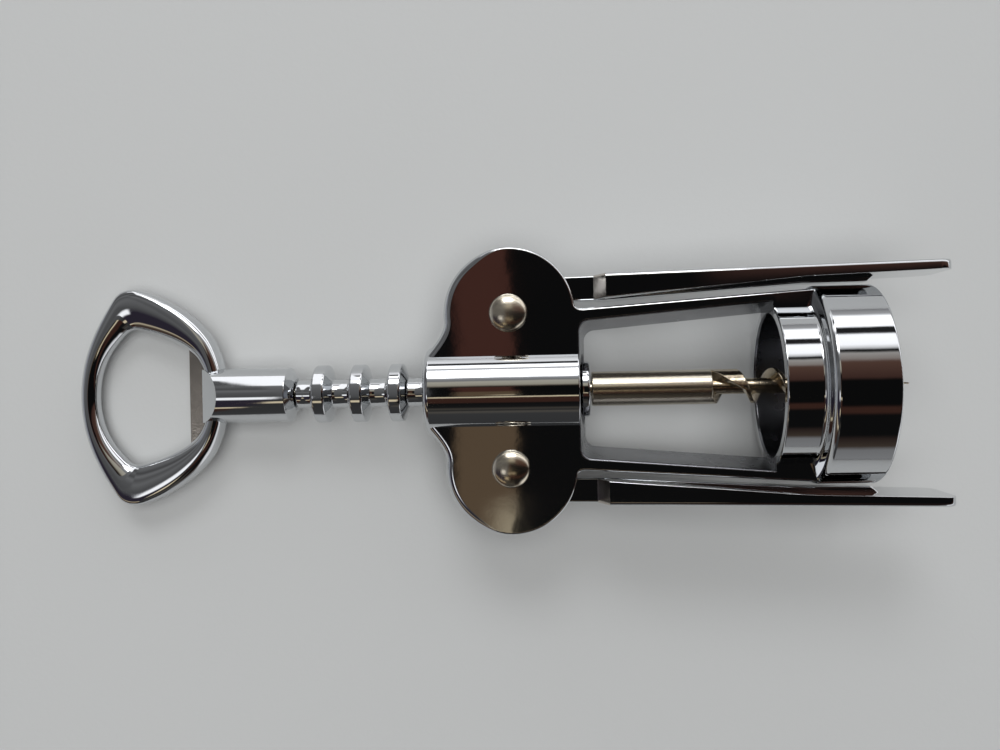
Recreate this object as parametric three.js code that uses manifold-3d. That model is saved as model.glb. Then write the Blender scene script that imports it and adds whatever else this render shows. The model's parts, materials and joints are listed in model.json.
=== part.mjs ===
import * as THREE from 'three';
import { mergeVertices } from 'three/addons/utils/BufferGeometryUtils.js';
import Module from 'manifold-3d';

// Lever (wing) corkscrew, in millimetres, with its levers down and its rack fully up.
//
// Every piece is drawn in a bench frame: the corkscrew's axis is X, positive toward the bell,
// the line through the two lever pivots is X = 0, Y runs across the levers and Z is the front.
// The last section lays the bench frame on a table, resting on the bell rim and the handle ring.

const wasm = await Module();
wasm.setup();

// ---- Driving dimensions -------------------------------------------------------------------

// Clearances
const slideClearance = 0.35;      // rack rings in the barrel bore
const pinClearance = 0.3;         // rivet in its holes, worm rod in rack and handle
const seatClearance = 0.3;        // between faces that rest on each other
const slotClearance = 0.35;       // lever hub between the cheeks of its slot
const tipClearance = 0.5;         // gear tip to rack root
const gearClearance = 0.3;        // rack ring to gear root, and gear tip to the slot's wall
const hubClearance = 0.4;         // rack ring to the hub where it has no teeth
const flankClearance = 0.2;       // each side of a rack ring, between the gear teeth
const leverClearance = 0.45;      // lever to the legs and the bell skirt

// Rack
const ringRadius = 5.55;
const rootRadius = 2.67;
const ringPitch = 7.26;
const ringLand = 2.3;             // width of a ring at its rim
const flankAngle = 18;            // degrees, of the sides of a ring
const ringsAbove = 5;             // whole rings above the pivot line, one more lies on it
const ringsBelow = 1;
const rackTopChamfer = 0.2;
const flangeRadius = 5.2;
const flangeGap = 3.1;            // last ring's base to the flange's
const flangeWidth = 1.45;
const flangeChamfer = 0.4;
const rackTravel = 22;

// Levers
const pivotOffset = 14.35;        // each pivot from the axis
const hubThickness = 4.6;
const toothRunOut = 0.25;         // radians, blank beyond the first and the last tooth
const leverReach = 79.3;          // pivot to tip, along the axis
const leverWidth = 13.5;          // of the tongue, front to back
const tongueRootX = 17.95;        // where the tongue has its full width
const rampLength = 2.15;
const neckInset = 2.25;           // inner edge of the hub's neck, out from the pivot
const tongueRootThickness = 4.4;
const tongueMidThickness = 2.1;
const tongueTipThickness = 1.75;
const tipCornerRadius = 2.5;
const leverSplay = 0.75;          // degrees, of the tongue's outer face from the axis
const ribWidth = 3.6;
const ribHeight = 0.75;           // of the rib, in from the tongue's inner face
const ribEndGap = 13.7;           // rib end to lever tip
const ribEndSlope = 1.5;          // length of the rib's sloped end

// Frame head and barrel
const headThickness = 11;
const lobeRim = 0.75;             // wall outside the slot
const headRim = 0.72;             // head's lower edge, beyond the lobes
const barrelTopX = -16;
const barrelWall = 2.6;
const barrelTopRound = 1.0;
const shoulderY = 6.4;            // where the head's outline meets the top of the barrel
const shoulderPull = 2.4;         // how strongly the lobe's side bends toward the barrel
const shoulderDrop = 1.9;         // and where the bend meets the barrel: along the axis
const shoulderSpread = 2.5;       // and across it
const lobeSideAngle = 186;        // degrees, where a lobe's round ends on the barrel's side
const lobeLegAngle = 8;           // degrees, and where it ends on the leg's side
const slotOpenMargin = 0.07;      // radians, slot beyond the lever at rest
const slotStopMargin = 0.035;     // radians, slot beyond the lever fully raised

// Legs
const legLength = 34.95;          // head to collar rim
const legThickness = 2.2;
const legRootDrop = 0.8;          // start of a leg's straight edge, below the head
const legRootOut = 0.53;          // outer edge of a leg's root, out from the pivot
const legFootInset = 0.82;        // outer edge of a leg's foot, in from the skirt's radius
const windowDraft = 1.45;         // how much the window narrows from front to back
const windowHeadDraft = 0.7;      // share of the draft on the head's side
const windowCornerRadius = 2.1;

// Bell
const skirtRadius = 18.3;
const skirtLength = 9.8;
const skirtWall = 1.8;
const collarRadius = 15.1;
const collarLength = 5.7;
const collarWall = 1.8;
const shoulderLength = 2.55;      // hollow and round between collar and skirt
const shoulderCurve = [           // [share of its length, share of its rise]
  [0.35, 0.109375],
  [0.5, 0.3125],
  [0.65, 0.875],
];
const rimChamfer = 0.2;           // of the collar's rim and the bell's mouth
const seatThickness = 1.7;        // of the step that sits on the bottle

// Rivets
const rivetRadius = 1.9;
const rivetHeadRadius = 3.5;
const rivetHeadHeight = 1.7;
const rivetTailRadius = 3.1;
const rivetTailHeight = 1.1;
const rivetRim = 0.3;             // straight edge under the dome
const rivetPeen = [0.6, 0.4];     // shares of the tail's radius and height at its chamfer

// Handle
const neckLength = 17.3;
const neckTopRadius = 5.4;
const neckBaseRadius = 5.2;
const neckChamfer = 1.2;
const neckEndGap = 5.0;           // last ring's centre to the neck's end
const ringLength = 26.05;         // from the top of the neck to the ring's far end
const ringHalfWidth = 21.0;
const ringCornerBack = 15.3;      // from the top of the neck to the ring's widest place
const ringBarEnd = 3.45;          // width of the bar at the far end
const ringBarSide = 7.7;          // and at the two corners
const ringRootDepth = 5.2;        // front to back, at the neck
const ringFarDepth = 4.0;
const neckSlope = 3.2;            // length of the sloped flats where the neck leaves the ring
const neckJoinAlong = 0.9;        // the ring's outline joins the neck at this share of the slope
const neckJoinAcross = 0.95;      // and this share of the neck's radius
const neckStep = 0.2;             // the flats start this far below the ring's faces
const webSpread = 0.7;            // half width of the cap lifter's web, as a share of the hole's
const toothThickness = 1.4;       // of the cap lifter's web
const toothReach = 4.6;           // cap lifter's edge, from the top of the neck
const toothDrop = 0.7;            // web below the middle plane

// Worm
const rodRadius = 1.45;
const rodInNeck = 11.5;
const shankRadius = 3.25;
const shankEndX = 37.3;
const wormPitch = 7.2;
const wormTipX = 73.45;
const wormTaperTurns = 1.0;
const threadRootWidth = 2.6;
const threadCrestWidth = 0.8;
const threadLead = 2.95;          // the thread's start, back inside the shank
const threadSinks = 0.5;          // share of the core's radius where the thread's root lies
const threadEndSize = 0.12;       // the thread's size at the point, as a share of its full size
const shankChamfer = 0.3;

// ---- Derived dimensions -------------------------------------------------------------------

const ringHeight = ringRadius - rootRadius;
const ringBase = ringLand + 2 * ringHeight * Math.tan(THREE.MathUtils.degToRad(flankAngle));
const rackPitchRadius = (ringRadius + rootRadius) / 2;
const gearPitchRadius = pivotOffset - rackPitchRadius;
const gearTipRadius = pivotOffset - rootRadius - tipClearance;
const hubRadius = pivotOffset - ringRadius - hubClearance;
const slotRadius = gearTipRadius + gearClearance;
const lobeRadius = slotRadius + lobeRim;
const headBaseX = lobeRadius + headRim;
const leverSwing = rackTravel / gearPitchRadius;

const boreRadius = ringRadius + slideClearance;
const barrelRadius = boreRadius + barrelWall;
const halfHead = headThickness / 2;
const halfHub = hubThickness / 2;
const halfLever = leverWidth / 2;
const halfSlot = halfHub + slotClearance;
const rivetHole = rivetRadius + pinClearance;

const collarRimX = headBaseX + legLength;
const collarEndX = collarRimX + collarLength;
const skirtStartX = collarEndX + shoulderLength;
const mouthX = skirtStartX + skirtLength;
const seatX = skirtStartX + seatThickness;
const legRootY = pivotOffset + legRootOut;
const legFootY = skirtRadius - legFootInset;

const ribInnerY = skirtRadius + leverClearance;
const leverSlope = Math.tan(THREE.MathUtils.degToRad(leverSplay));
const leverOuterY = Math.max(
  ribInnerY + ribHeight + tongueMidThickness,
  legRootY + leverClearance + tongueRootThickness + legLength * leverSlope,
);
const leverOuter = (x) => leverOuterY - pivotOffset + (x - collarEndX) * leverSlope;

const rackTopX = -ringsAbove * ringPitch - neckEndGap;
const neckBaseX = rackTopX - seatClearance;
const neckTopX = neckBaseX - neckLength;
const ringFarX = neckTopX - ringLength;
const flangeSlope = ringHeight * Math.tan(THREE.MathUtils.degToRad(flankAngle));
const flangeX = ringsBelow * ringPitch + ringBase / 2 + flangeGap + flangeSlope;
const flangeEndX = flangeX + flangeWidth;
const shankTopX = flangeEndX + seatClearance;
const rodHole = rodRadius + pinClearance;

// The part rests on the lowest point of the bell rim and on the far end of the handle ring.
const restTilt = Math.atan2(skirtRadius - ringFarDepth / 2, mouthX - ringFarX);

// ---- Materials ----------------------------------------------------------------------------

const chrome = { color: 0xc9cbce, roughness: 0.08, metalness: 1 };
const nickel = { color: 0xc8b79c, roughness: 0.2, metalness: 1 };

// ---- Shapes and solids --------------------------------------------------------------------

const OVER = 1;                   // cutters run this far past what they cut
const BURY = 0.3;                 // joined shapes run this far into each other
const ROUND = 40;                 // sides of a full turn
const FINE = 56;                  // sides of the large turned shapes

function solid(geometry) {
  const bare = geometry.clone();
  bare.deleteAttribute('normal');
  bare.deleteAttribute('uv');
  const merged = mergeVertices(bare, 1e-4);
  const mesh = new wasm.Mesh({
    numProp: 3,
    vertProperties: new Float32Array(merged.attributes.position.array),
    triVerts: new Uint32Array(merged.index.array),
  });
  return new wasm.Manifold(mesh);
}

function geometryOf(body) {
  const mesh = body.getMesh();
  const geometry = new THREE.BufferGeometry();
  geometry.setAttribute('position', new THREE.BufferAttribute(new Float32Array(mesh.vertProperties), 3));
  geometry.setIndex(new THREE.BufferAttribute(new Uint32Array(mesh.triVerts), 1));
  geometry.computeVertexNormals();
  return geometry;
}

// A turned shape about the X axis, from [x, radius] pairs that start and end on the axis.
function turned(profile, sides = ROUND) {
  const points = profile.map(([x, radius]) => new THREE.Vector2(radius, x));
  return new THREE.LatheGeometry(points, sides).rotateZ(-Math.PI / 2);
}

// A turned shape about the Z axis, from [z, radius] pairs.
function turnedUpright(profile, sides = ROUND) {
  const points = profile.map(([z, radius]) => new THREE.Vector2(radius, z));
  return new THREE.LatheGeometry(points, sides).rotateX(Math.PI / 2);
}

function slab(shape, bottom, top, curveSegments = 12) {
  const geometry = new THREE.ExtrudeGeometry(shape, {
    depth: top - bottom,
    bevelEnabled: false,
    curveSegments,
  });
  return geometry.translate(0, 0, bottom);
}

function polygon(points) {
  return new THREE.Shape(points.map(([x, y]) => new THREE.Vector2(x, y)));
}

function box(x0, x1, y0, y1, z0, z1) {
  const geometry = new THREE.BoxGeometry(x1 - x0, y1 - y0, z1 - z0);
  return geometry.translate((x0 + x1) / 2, (y0 + y1) / 2, (z0 + z1) / 2);
}

// A block whose outline changes from one shape at z0 to a second, with as many points, at z1.
function drafted(lower, z0, upper, z1) {
  const count = lower.length;
  const positions = [];
  lower.forEach((p) => positions.push(p.x, p.y, z0));
  upper.forEach((p) => positions.push(p.x, p.y, z1));
  const faces = THREE.ShapeUtils.triangulateShape(lower, []);
  const index = [];
  faces.forEach(([a, b, c]) => index.push(a, c, b, a + count, b + count, c + count));
  for (let i = 0; i < count; i += 1) {
    const next = (i + 1) % count;
    index.push(i, next, next + count, i, next + count, i + count);
  }
  const geometry = new THREE.BufferGeometry();
  geometry.setAttribute('position', new THREE.Float32BufferAttribute(positions, 3));
  geometry.setIndex(index);
  return geometry;
}

function part(name, body, look) {
  const geometry = body.isBufferGeometry ? body : geometryOf(body);
  const mesh = new THREE.Mesh(geometry, new THREE.MeshStandardMaterial(look));
  mesh.name = name;
  return mesh;
}

// ---- Frame --------------------------------------------------------------------------------

// The head's two lobes and the outer edges of the legs, as one outline.
function frameOutline() {
  const lobeEnd = THREE.MathUtils.degToRad(lobeSideAngle);
  const legStart = THREE.MathUtils.degToRad(lobeLegAngle);
  const lobeSideX = lobeRadius * Math.cos(lobeEnd);
  const lobeSideY = pivotOffset + lobeRadius * Math.sin(lobeEnd);
  const shape = new THREE.Shape();
  shape.moveTo(skirtStartX, -legFootY);
  shape.lineTo(skirtStartX, legFootY);
  shape.lineTo(headBaseX + legRootDrop, legRootY);
  shape.quadraticCurveTo(lobeRadius, legRootY,
    lobeRadius * Math.cos(legStart), pivotOffset + lobeRadius * Math.sin(legStart));
  shape.absarc(0, pivotOffset, lobeRadius, legStart, lobeEnd, false);
  shape.bezierCurveTo(
    lobeSideX, lobeSideY - shoulderPull,
    barrelTopX + shoulderDrop, shoulderY + shoulderSpread,
    barrelTopX, shoulderY,
  );
  shape.lineTo(barrelTopX, -shoulderY);
  shape.bezierCurveTo(
    barrelTopX + shoulderDrop, -shoulderY - shoulderSpread,
    lobeSideX, shoulderPull - lobeSideY,
    lobeSideX, -lobeSideY,
  );
  shape.absarc(0, -pivotOffset, lobeRadius, -lobeEnd, -legStart, false);
  shape.quadraticCurveTo(lobeRadius, -legRootY, headBaseX + legRootDrop, -legRootY);
  return shape;
}

// Outline of the window between the legs, moved in by a margin on the head and leg sides.
function windowOutline(margin) {
  const rootX = headBaseX + margin * windowHeadDraft;
  const rootY = legRootY - legThickness - margin;
  const footY = legFootY - legThickness - margin;
  const r = windowCornerRadius;
  const shape = new THREE.Shape();
  shape.moveTo(collarRimX, -footY);
  shape.lineTo(collarRimX, footY);
  shape.lineTo(rootX + r, rootY);
  shape.absarc(rootX + r, rootY - r, r, Math.PI / 2, Math.PI, false);
  shape.absarc(rootX + r, r - rootY, r, Math.PI, Math.PI * 1.5, false);
  return shape.getPoints(5);
}

function bellOuter() {
  const rise = skirtRadius - collarRadius;
  const shoulder = shoulderCurve.map(([along, up]) => [
    collarEndX + shoulderLength * along,
    collarRadius + rise * up,
  ]);
  return turned([
    [collarRimX, 0],
    [collarRimX, collarRadius - rimChamfer],
    [collarRimX + rimChamfer, collarRadius],
    [collarEndX, collarRadius],
    ...shoulder,
    [skirtStartX, skirtRadius],
    [mouthX - rimChamfer, skirtRadius],
    [mouthX, skirtRadius - rimChamfer],
    [mouthX, 0],
  ], FINE);
}

function bellInner() {
  return turned([
    [collarRimX - OVER, 0],
    [collarRimX - OVER, collarRadius - collarWall],
    [seatX, collarRadius - collarWall],
    [seatX, skirtRadius - skirtWall],
    [mouthX + OVER, skirtRadius - skirtWall],
    [mouthX + OVER, 0],
  ], FINE);
}

function barrelOuter() {
  const profile = [[barrelTopX, 0]];
  for (let i = 0; i <= 3; i += 1) {
    const angle = (i / 3) * (Math.PI / 2);
    const x = barrelTopX + barrelTopRound * (1 - Math.cos(angle));
    const radius = barrelRadius - barrelTopRound * (1 - Math.sin(angle));
    profile.push([x, radius]);
  }
  profile.push([headBaseX, barrelRadius], [headBaseX, 0]);
  return turned(profile);
}

// Slot for one lever's hub. It opens outward over the lever's whole swing and ends in a stop.
function slotCutter() {
  const open = Math.asin(neckInset / lobeRadius) - slotOpenMargin;
  const stop = Math.asin(leverOuter(slotRadius) / slotRadius) + leverSwing + slotStopMargin;
  const beyond = lobeRadius + 3 * OVER;
  const shape = new THREE.Shape();
  shape.moveTo(beyond * Math.cos(open), pivotOffset + beyond * Math.sin(open));
  shape.absarc(0, pivotOffset, beyond, open, stop, false);
  shape.lineTo(slotRadius * Math.cos(stop), pivotOffset + slotRadius * Math.sin(stop));
  shape.absarc(0, pivotOffset, slotRadius, stop, 2 * Math.PI + open, false);
  return slab(shape, -halfSlot, halfSlot, 32);
}

function rivetHoleCutter(half) {
  return turnedUpright([
    [-half - OVER, 0],
    [-half - OVER, rivetHole],
    [half + OVER, rivetHole],
    [half + OVER, 0],
  ], 24);
}

function frame() {
  const skim = 0.1;               // the drafted window only just passes the faces
  const window = drafted(windowOutline(windowDraft), -halfHead - skim, windowOutline(0), halfHead + skim);
  const bore = turned([
    [barrelTopX - OVER, 0],
    [barrelTopX - OVER, boreRadius],
    [headBaseX + OVER, boreRadius],
    [headBaseX + OVER, 0],
  ]);
  let body = solid(slab(frameOutline(), -halfHead, halfHead, 24))
    .subtract(solid(window))
    .add(solid(barrelOuter()))
    .add(solid(bellOuter()))
    .subtract(solid(bellInner()))
    .subtract(solid(bore));
  const hole = rivetHoleCutter(halfHead);
  for (const turn of [0, Math.PI]) {
    body = body
      .subtract(solid(slotCutter().rotateX(turn)))
      .subtract(solid(hole.clone().translate(0, pivotOffset, 0).rotateX(turn)));
  }
  return body;
}

// ---- Rack ---------------------------------------------------------------------------------

// The rack's outline on one side, [x, radius] from its top to its lower end.
function rackProfile(growth = 0) {
  const halfLand = ringLand / 2 + growth;
  const halfBase = ringBase / 2 + growth;
  const profile = [];
  for (let i = -ringsAbove; i <= ringsBelow; i += 1) {
    const x = i * ringPitch;
    profile.push(
      [x - halfBase, rootRadius],
      [x - halfLand, ringRadius],
      [x + halfLand, ringRadius],
      [x + halfBase, rootRadius],
    );
  }
  return profile;
}

function rack() {
  return turned([
    [rackTopX, rodHole],
    [rackTopX, rootRadius - rackTopChamfer],
    [rackTopX + rackTopChamfer, rootRadius],
    ...rackProfile(),
    [flangeX - flangeSlope, rootRadius],
    [flangeX, flangeRadius],
    [flangeEndX - flangeChamfer, flangeRadius],
    [flangeEndX, flangeRadius - flangeChamfer],
    [flangeEndX, rodHole],
    [rackTopX, rodHole],
  ]);
}

// ---- Levers -------------------------------------------------------------------------------

// Gear blank, toothed between the angles that meet the rack, about a pivot at the origin.
function gearBlank() {
  const toothStart = -Math.PI / 2 - ringPitch * (ringsBelow + 2.5) / gearPitchRadius - toothRunOut;
  const toothEnd = -Math.PI / 2 + ringPitch * 0.5 / gearPitchRadius + toothRunOut;
  const shape = new THREE.Shape();
  shape.absarc(0, 0, gearTipRadius, toothStart, toothEnd, false);
  shape.absarc(0, 0, hubRadius, toothEnd, toothStart + 2 * Math.PI, false);
  return slab(shape, -halfHub, halfHub, 40);
}

// The gaps between the teeth are cut by rolling the blank along the rack's own outline.
function cutTeeth(blank) {
  const steps = 44;
  const overrun = 1.5;
  const outline = rackProfile(flankClearance).map(([x, radius]) => [x, radius + gearClearance]);
  const first = outline[0][0] - OVER;
  const last = outline[outline.length - 1][0] + OVER;
  const strip = polygon([
    [first, -OVER],
    [last, -OVER],
    [last, rootRadius],
    ...outline.reverse(),
    [first, rootRadius],
  ]);
  const cutter = slab(strip, -halfHub - OVER, halfHub + OVER).translate(0, -pivotOffset, 0);
  let gear = blank;
  for (let i = 0; i <= steps; i += 1) {
    const slide = -overrun + (rackTravel + 2 * overrun) * (i / steps);
    const rolled = cutter.clone().translate(slide, 0, 0).rotateZ(-slide / gearPitchRadius);
    gear = gear.subtract(solid(rolled));
  }
  return gear;
}

// Inner and outer edge of the tongue, seen from the front, from root to tip.
function tongueOutline() {
  const rootX = tongueRootX - rampLength;
  const edge = (x, thickness) => [x, leverOuter(x) - thickness];
  return polygon([
    edge(rootX, 0),
    edge(rootX, tongueRootThickness),
    edge(tongueRootX, tongueRootThickness),
    edge(collarEndX, tongueMidThickness),
    edge(leverReach, tongueTipThickness),
    edge(leverReach, 0),
  ]);
}

// The tongue seen from the side: a ramp up to its full width, and a tip with round corners.
function tonguePlan() {
  const r = tipCornerRadius;
  const shape = new THREE.Shape();
  shape.moveTo(tongueRootX - rampLength, -halfHub);
  shape.lineTo(tongueRootX, -halfLever);
  shape.absarc(leverReach - r, r - halfLever, r, -Math.PI / 2, 0, false);
  shape.absarc(leverReach - r, halfLever - r, r, 0, Math.PI / 2, false);
  shape.lineTo(tongueRootX, halfLever);
  shape.lineTo(tongueRootX - rampLength, halfHub);
  return shape;
}

function lever() {
  const ribInner = ribInnerY - pivotOffset;
  const ribEndX = leverReach - ribEndGap;
  const ribStartX = tongueRootX - OVER;
  const hubSideX = hubRadius / 2;
  const neck = polygon([
    [0, leverOuter(0) - BURY],
    [0, neckInset],
    [tongueRootX, neckInset],
    [tongueRootX, leverOuter(tongueRootX)],
    [hubSideX, leverOuter(hubSideX)],
  ]);
  const rib = polygon([
    [ribStartX, neckInset],
    [collarEndX, ribInner],
    [ribEndX, ribInner],
    [ribEndX + ribEndSlope, leverOuter(ribEndX) - tongueTipThickness],
    [ribEndX, leverOuter(ribEndX) - BURY],
    [ribStartX, leverOuter(tongueRootX) - BURY],
  ]);
  const tongue = solid(slab(tongueOutline(), -halfLever - OVER, halfLever + OVER))
    .intersect(solid(slab(tonguePlan(), -pivotOffset, pivotOffset, 6).rotateX(Math.PI / 2)));
  return cutTeeth(solid(gearBlank()))
    .add(solid(slab(neck, -halfHub, halfHub)))
    .add(solid(slab(rib, -ribWidth / 2, ribWidth / 2)))
    .add(tongue)
    .subtract(solid(rivetHoleCutter(halfHub)));
}

// ---- Rivets -------------------------------------------------------------------------------

function rivet() {
  const face = halfHead + seatClearance;
  const [peenRadius, peenHeight] = rivetPeen;
  const profile = [
    [-face - rivetTailHeight, 0],
    [-face - rivetTailHeight, rivetTailRadius * peenRadius],
    [-face - rivetTailHeight * peenHeight, rivetTailRadius],
    [-face, rivetTailRadius],
    [-face, rivetRadius],
    [face, rivetRadius],
    [face, rivetHeadRadius],
  ];
  const steps = 5;
  for (let i = 1; i <= steps; i += 1) {
    const angle = (i / steps) * (Math.PI / 2);
    const radius = i === steps ? 0 : rivetHeadRadius * Math.cos(angle);
    profile.push([face + rivetRim + (rivetHeadHeight - rivetRim) * Math.sin(angle), radius]);
  }
  return turnedUpright(profile, 28);
}

// ---- Handle -------------------------------------------------------------------------------

// Places on the ring: u runs from -1 at the far end, over 0 at the corners, to 1 at the neck,
// and v from 0 on the axis to 1 at the corners.
function ringPlaces(farX, halfWidth) {
  const cornerX = neckTopX - ringCornerBack;
  return (u, v) => [cornerX + u * (u < 0 ? cornerX - farX : ringCornerBack), v * halfWidth];
}

function mirrored(path, pieces) {
  const half = path.getPoints(pieces);
  const below = half.slice(1).reverse().map((p) => new THREE.Vector2(p.x, -p.y));
  return new THREE.Shape([...half, ...below]);
}

function ringOutline() {
  const at = ringPlaces(ringFarX, ringHalfWidth);
  const path = new THREE.Path();
  path.moveTo(...at(-1, 0));
  path.bezierCurveTo(...at(-1, 0.36), ...at(-0.744, 0.63), ...at(-0.316, 0.924));
  path.quadraticCurveTo(...at(-0.13, 1.048), ...at(0.157, 0.986));
  path.bezierCurveTo(...at(0.438, 0.919), ...at(0.82, 0.771), ...at(1.035, 0.54));
  path.quadraticCurveTo(
    ...at(1.13, 0.43),
    neckTopX + neckSlope * neckJoinAlong, neckTopRadius * neckJoinAcross,
  );
  return mirrored(path, 7);
}

function ringHole() {
  const at = ringPlaces(ringFarX + ringBarEnd, ringHalfWidth - ringBarSide);
  const path = new THREE.Path();
  path.moveTo(...at(-1, 0));
  path.bezierCurveTo(...at(-1, 0.34), ...at(-0.795, 0.617), ...at(-0.33, 0.88));
  path.quadraticCurveTo(...at(-0.096, 1.045), ...at(0.131, 0.985));
  path.bezierCurveTo(...at(0.34, 0.917), ...at(0.647, 0.797), ...at(0.817, 0.6));
  path.bezierCurveTo(...at(0.915, 0.474), ...at(0.987, 0.263), ...at(0.987, 0));
  return mirrored(path, 7);
}

// The ring, thinner front to back at its far end, with the cap lifter's web in its hole.
function ring() {
  const side = polygon([
    [ringFarX - OVER, -ringFarDepth / 2],
    [neckTopX, -ringRootDepth / 2],
    [neckBaseX, -ringRootDepth / 2],
    [neckBaseX, ringRootDepth / 2],
    [neckTopX, ringRootDepth / 2],
    [ringFarX - OVER, ringFarDepth / 2],
  ]);
  const webHalf = (ringHalfWidth - ringBarSide) * webSpread;
  const webTop = -toothDrop;
  const web = box(
    neckTopX - toothReach, neckTopX,
    -webHalf, webHalf,
    webTop - toothThickness, webTop,
  );
  const clear = ringHalfWidth + ringBarSide;
  return solid(slab(ringOutline(), -ringRootDepth, ringRootDepth))
    .subtract(solid(slab(ringHole(), -ringRootDepth - OVER, ringRootDepth + OVER)))
    .add(solid(web))
    .intersect(solid(slab(side, -clear, clear).rotateX(Math.PI / 2)));
}

// The neck, with a sloped flat at the front and back where it leaves the ring.
function neck() {
  const clear = neckTopRadius + OVER;
  const turnedNeck = turned([
    [neckTopX, 0],
    [neckTopX, neckTopRadius],
    [neckBaseX - neckChamfer, neckBaseRadius],
    [neckBaseX, rootRadius],
    [neckBaseX, 0],
  ]);
  const side = polygon([
    [neckTopX, neckStep - ringRootDepth / 2],
    [neckTopX + neckSlope, -neckTopRadius],
    [neckTopX + neckSlope, -clear],
    [neckBaseX + OVER, -clear],
    [neckBaseX + OVER, clear],
    [neckTopX + neckSlope, clear],
    [neckTopX + neckSlope, neckTopRadius],
    [neckTopX, ringRootDepth / 2 - neckStep],
  ]);
  return solid(turnedNeck)
    .intersect(solid(slab(side, -clear, clear).rotateX(Math.PI / 2)));
}

function handle() {
  const socket = turned([
    [neckBaseX - rodInNeck - pinClearance, 0],
    [neckBaseX - rodInNeck - pinClearance, rodHole],
    [neckBaseX + OVER, rodHole],
    [neckBaseX + OVER, 0],
  ], 24);
  return ring().add(neck()).subtract(solid(socket));
}

// ---- Worm ---------------------------------------------------------------------------------

// The auger: a core with a helical thread, both running down to a point.
function worm() {
  const startX = shankEndX - threadLead;
  const turns = (wormTipX - startX) / wormPitch;
  const stepsPerTurn = 16;
  const steps = Math.round(turns * stepsPerTurn);
  const taper = (x) => Math.min(1, Math.max(threadEndSize, (wormTipX - x) / (wormPitch * wormTaperTurns)));
  const positions = [];
  const index = [];
  for (let i = 0; i <= steps; i += 1) {
    const x = startX + (i / stepsPerTurn) * wormPitch;
    const angle = (i / stepsPerTurn) * 2 * Math.PI;
    const size = taper(x);
    const section = [
      [-threadRootWidth / 2, rodRadius * threadSinks],
      [-threadCrestWidth / 2, shankRadius],
      [threadCrestWidth / 2, shankRadius],
      [threadRootWidth / 2, rodRadius * threadSinks],
    ];
    section.forEach(([dx, radius]) => {
      const r = radius * size;
      positions.push(x + dx * size, r * Math.cos(angle), r * Math.sin(angle));
    });
  }
  for (let i = 0; i < steps; i += 1) {
    for (let j = 0; j < 4; j += 1) {
      const a = i * 4 + j;
      const b = i * 4 + ((j + 1) % 4);
      index.push(a, b + 4, b, a, a + 4, b + 4);
    }
  }
  const end = steps * 4;
  index.push(0, 2, 3, 0, 1, 2, end, end + 2, end + 1, end, end + 3, end + 2);
  const thread = new THREE.BufferGeometry();
  thread.setAttribute('position', new THREE.Float32BufferAttribute(positions, 3));
  thread.setIndex(index);
  const core = turned([
    [neckBaseX - rodInNeck, 0],
    [neckBaseX - rodInNeck, rodRadius],
    [shankTopX, rodRadius],
    [shankTopX, shankRadius - shankChamfer],
    [shankTopX + shankChamfer, shankRadius],
    [shankEndX, shankRadius],
    [shankEndX, rodRadius],
    [wormTipX - wormPitch * wormTaperTurns, rodRadius],
    [wormTipX, 0],
  ], 24);
  return solid(core).add(solid(thread));
}

// ---- Assembly -----------------------------------------------------------------------------

const bench = new THREE.Group();
bench.add(part('frame', frame(), chrome));
bench.add(part('rack', rack(), chrome));
bench.add(part('handle', handle(), chrome));
bench.add(part('worm', worm(), nickel));

const leverBody = geometryOf(lever());
for (const [side, turn] of [['right', 0], ['left', Math.PI]]) {
  const across = Math.cos(turn) * pivotOffset;
  const lever = part(`${side}_lever`, leverBody, chrome);
  lever.position.set(0, across, 0);
  lever.rotation.x = turn;
  const pin = part(`${side}_rivet`, rivet(), nickel);
  pin.position.set(0, across, 0);
  bench.add(lever, pin);
}

const group = new THREE.Group();
bench.rotation.y = -restTilt;
group.add(bench);

// Stand the part on Z = 0 with its origin under the middle of its box.
group.updateMatrixWorld(true);
const bounds = new THREE.Box3().setFromObject(group, true);
bench.position.set(-(bounds.min.x + bounds.max.x) / 2, -(bounds.min.y + bounds.max.y) / 2, -bounds.min.z);

export default group;
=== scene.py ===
"""Lever corkscrew: smooth, plated looks for a packed lever corkscrew.

Pieces are drawn in millimetres in a bench frame. X runs along the corkscrew toward the bell,
X = 0 is the line through the two lever pivots, Y runs across the levers and Z faces up. The
bench is then laid on the table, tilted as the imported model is, and scaled to metres.
"""

import json
import math
from types import SimpleNamespace

import bmesh
import bpy
import numpy as np
from mathutils import Matrix, Vector


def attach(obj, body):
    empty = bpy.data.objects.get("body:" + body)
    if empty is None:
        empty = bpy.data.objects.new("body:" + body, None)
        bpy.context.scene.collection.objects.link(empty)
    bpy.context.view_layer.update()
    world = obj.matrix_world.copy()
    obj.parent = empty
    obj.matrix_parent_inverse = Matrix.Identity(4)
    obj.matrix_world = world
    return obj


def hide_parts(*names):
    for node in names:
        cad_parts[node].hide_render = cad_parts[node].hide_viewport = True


bl_info = {
    "name": "Lever Corkscrew",
    "version": (1, 0, 0),
    "blender": (4, 5, 0),
    "location": "View3D > Sidebar > Corkscrew",
    "description": "Builds the plated castings of a lever corkscrew on its packed model",
    "category": "Object",
}

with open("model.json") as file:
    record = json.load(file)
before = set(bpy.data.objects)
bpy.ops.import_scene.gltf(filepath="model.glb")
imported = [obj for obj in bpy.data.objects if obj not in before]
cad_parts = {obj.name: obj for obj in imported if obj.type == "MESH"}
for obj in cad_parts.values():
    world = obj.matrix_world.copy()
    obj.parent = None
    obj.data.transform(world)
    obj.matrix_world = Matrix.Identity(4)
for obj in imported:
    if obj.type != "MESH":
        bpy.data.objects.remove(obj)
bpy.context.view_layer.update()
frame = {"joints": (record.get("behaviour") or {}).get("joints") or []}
JOINTS = {joint["name"]: joint for joint in frame["joints"]}

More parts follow.
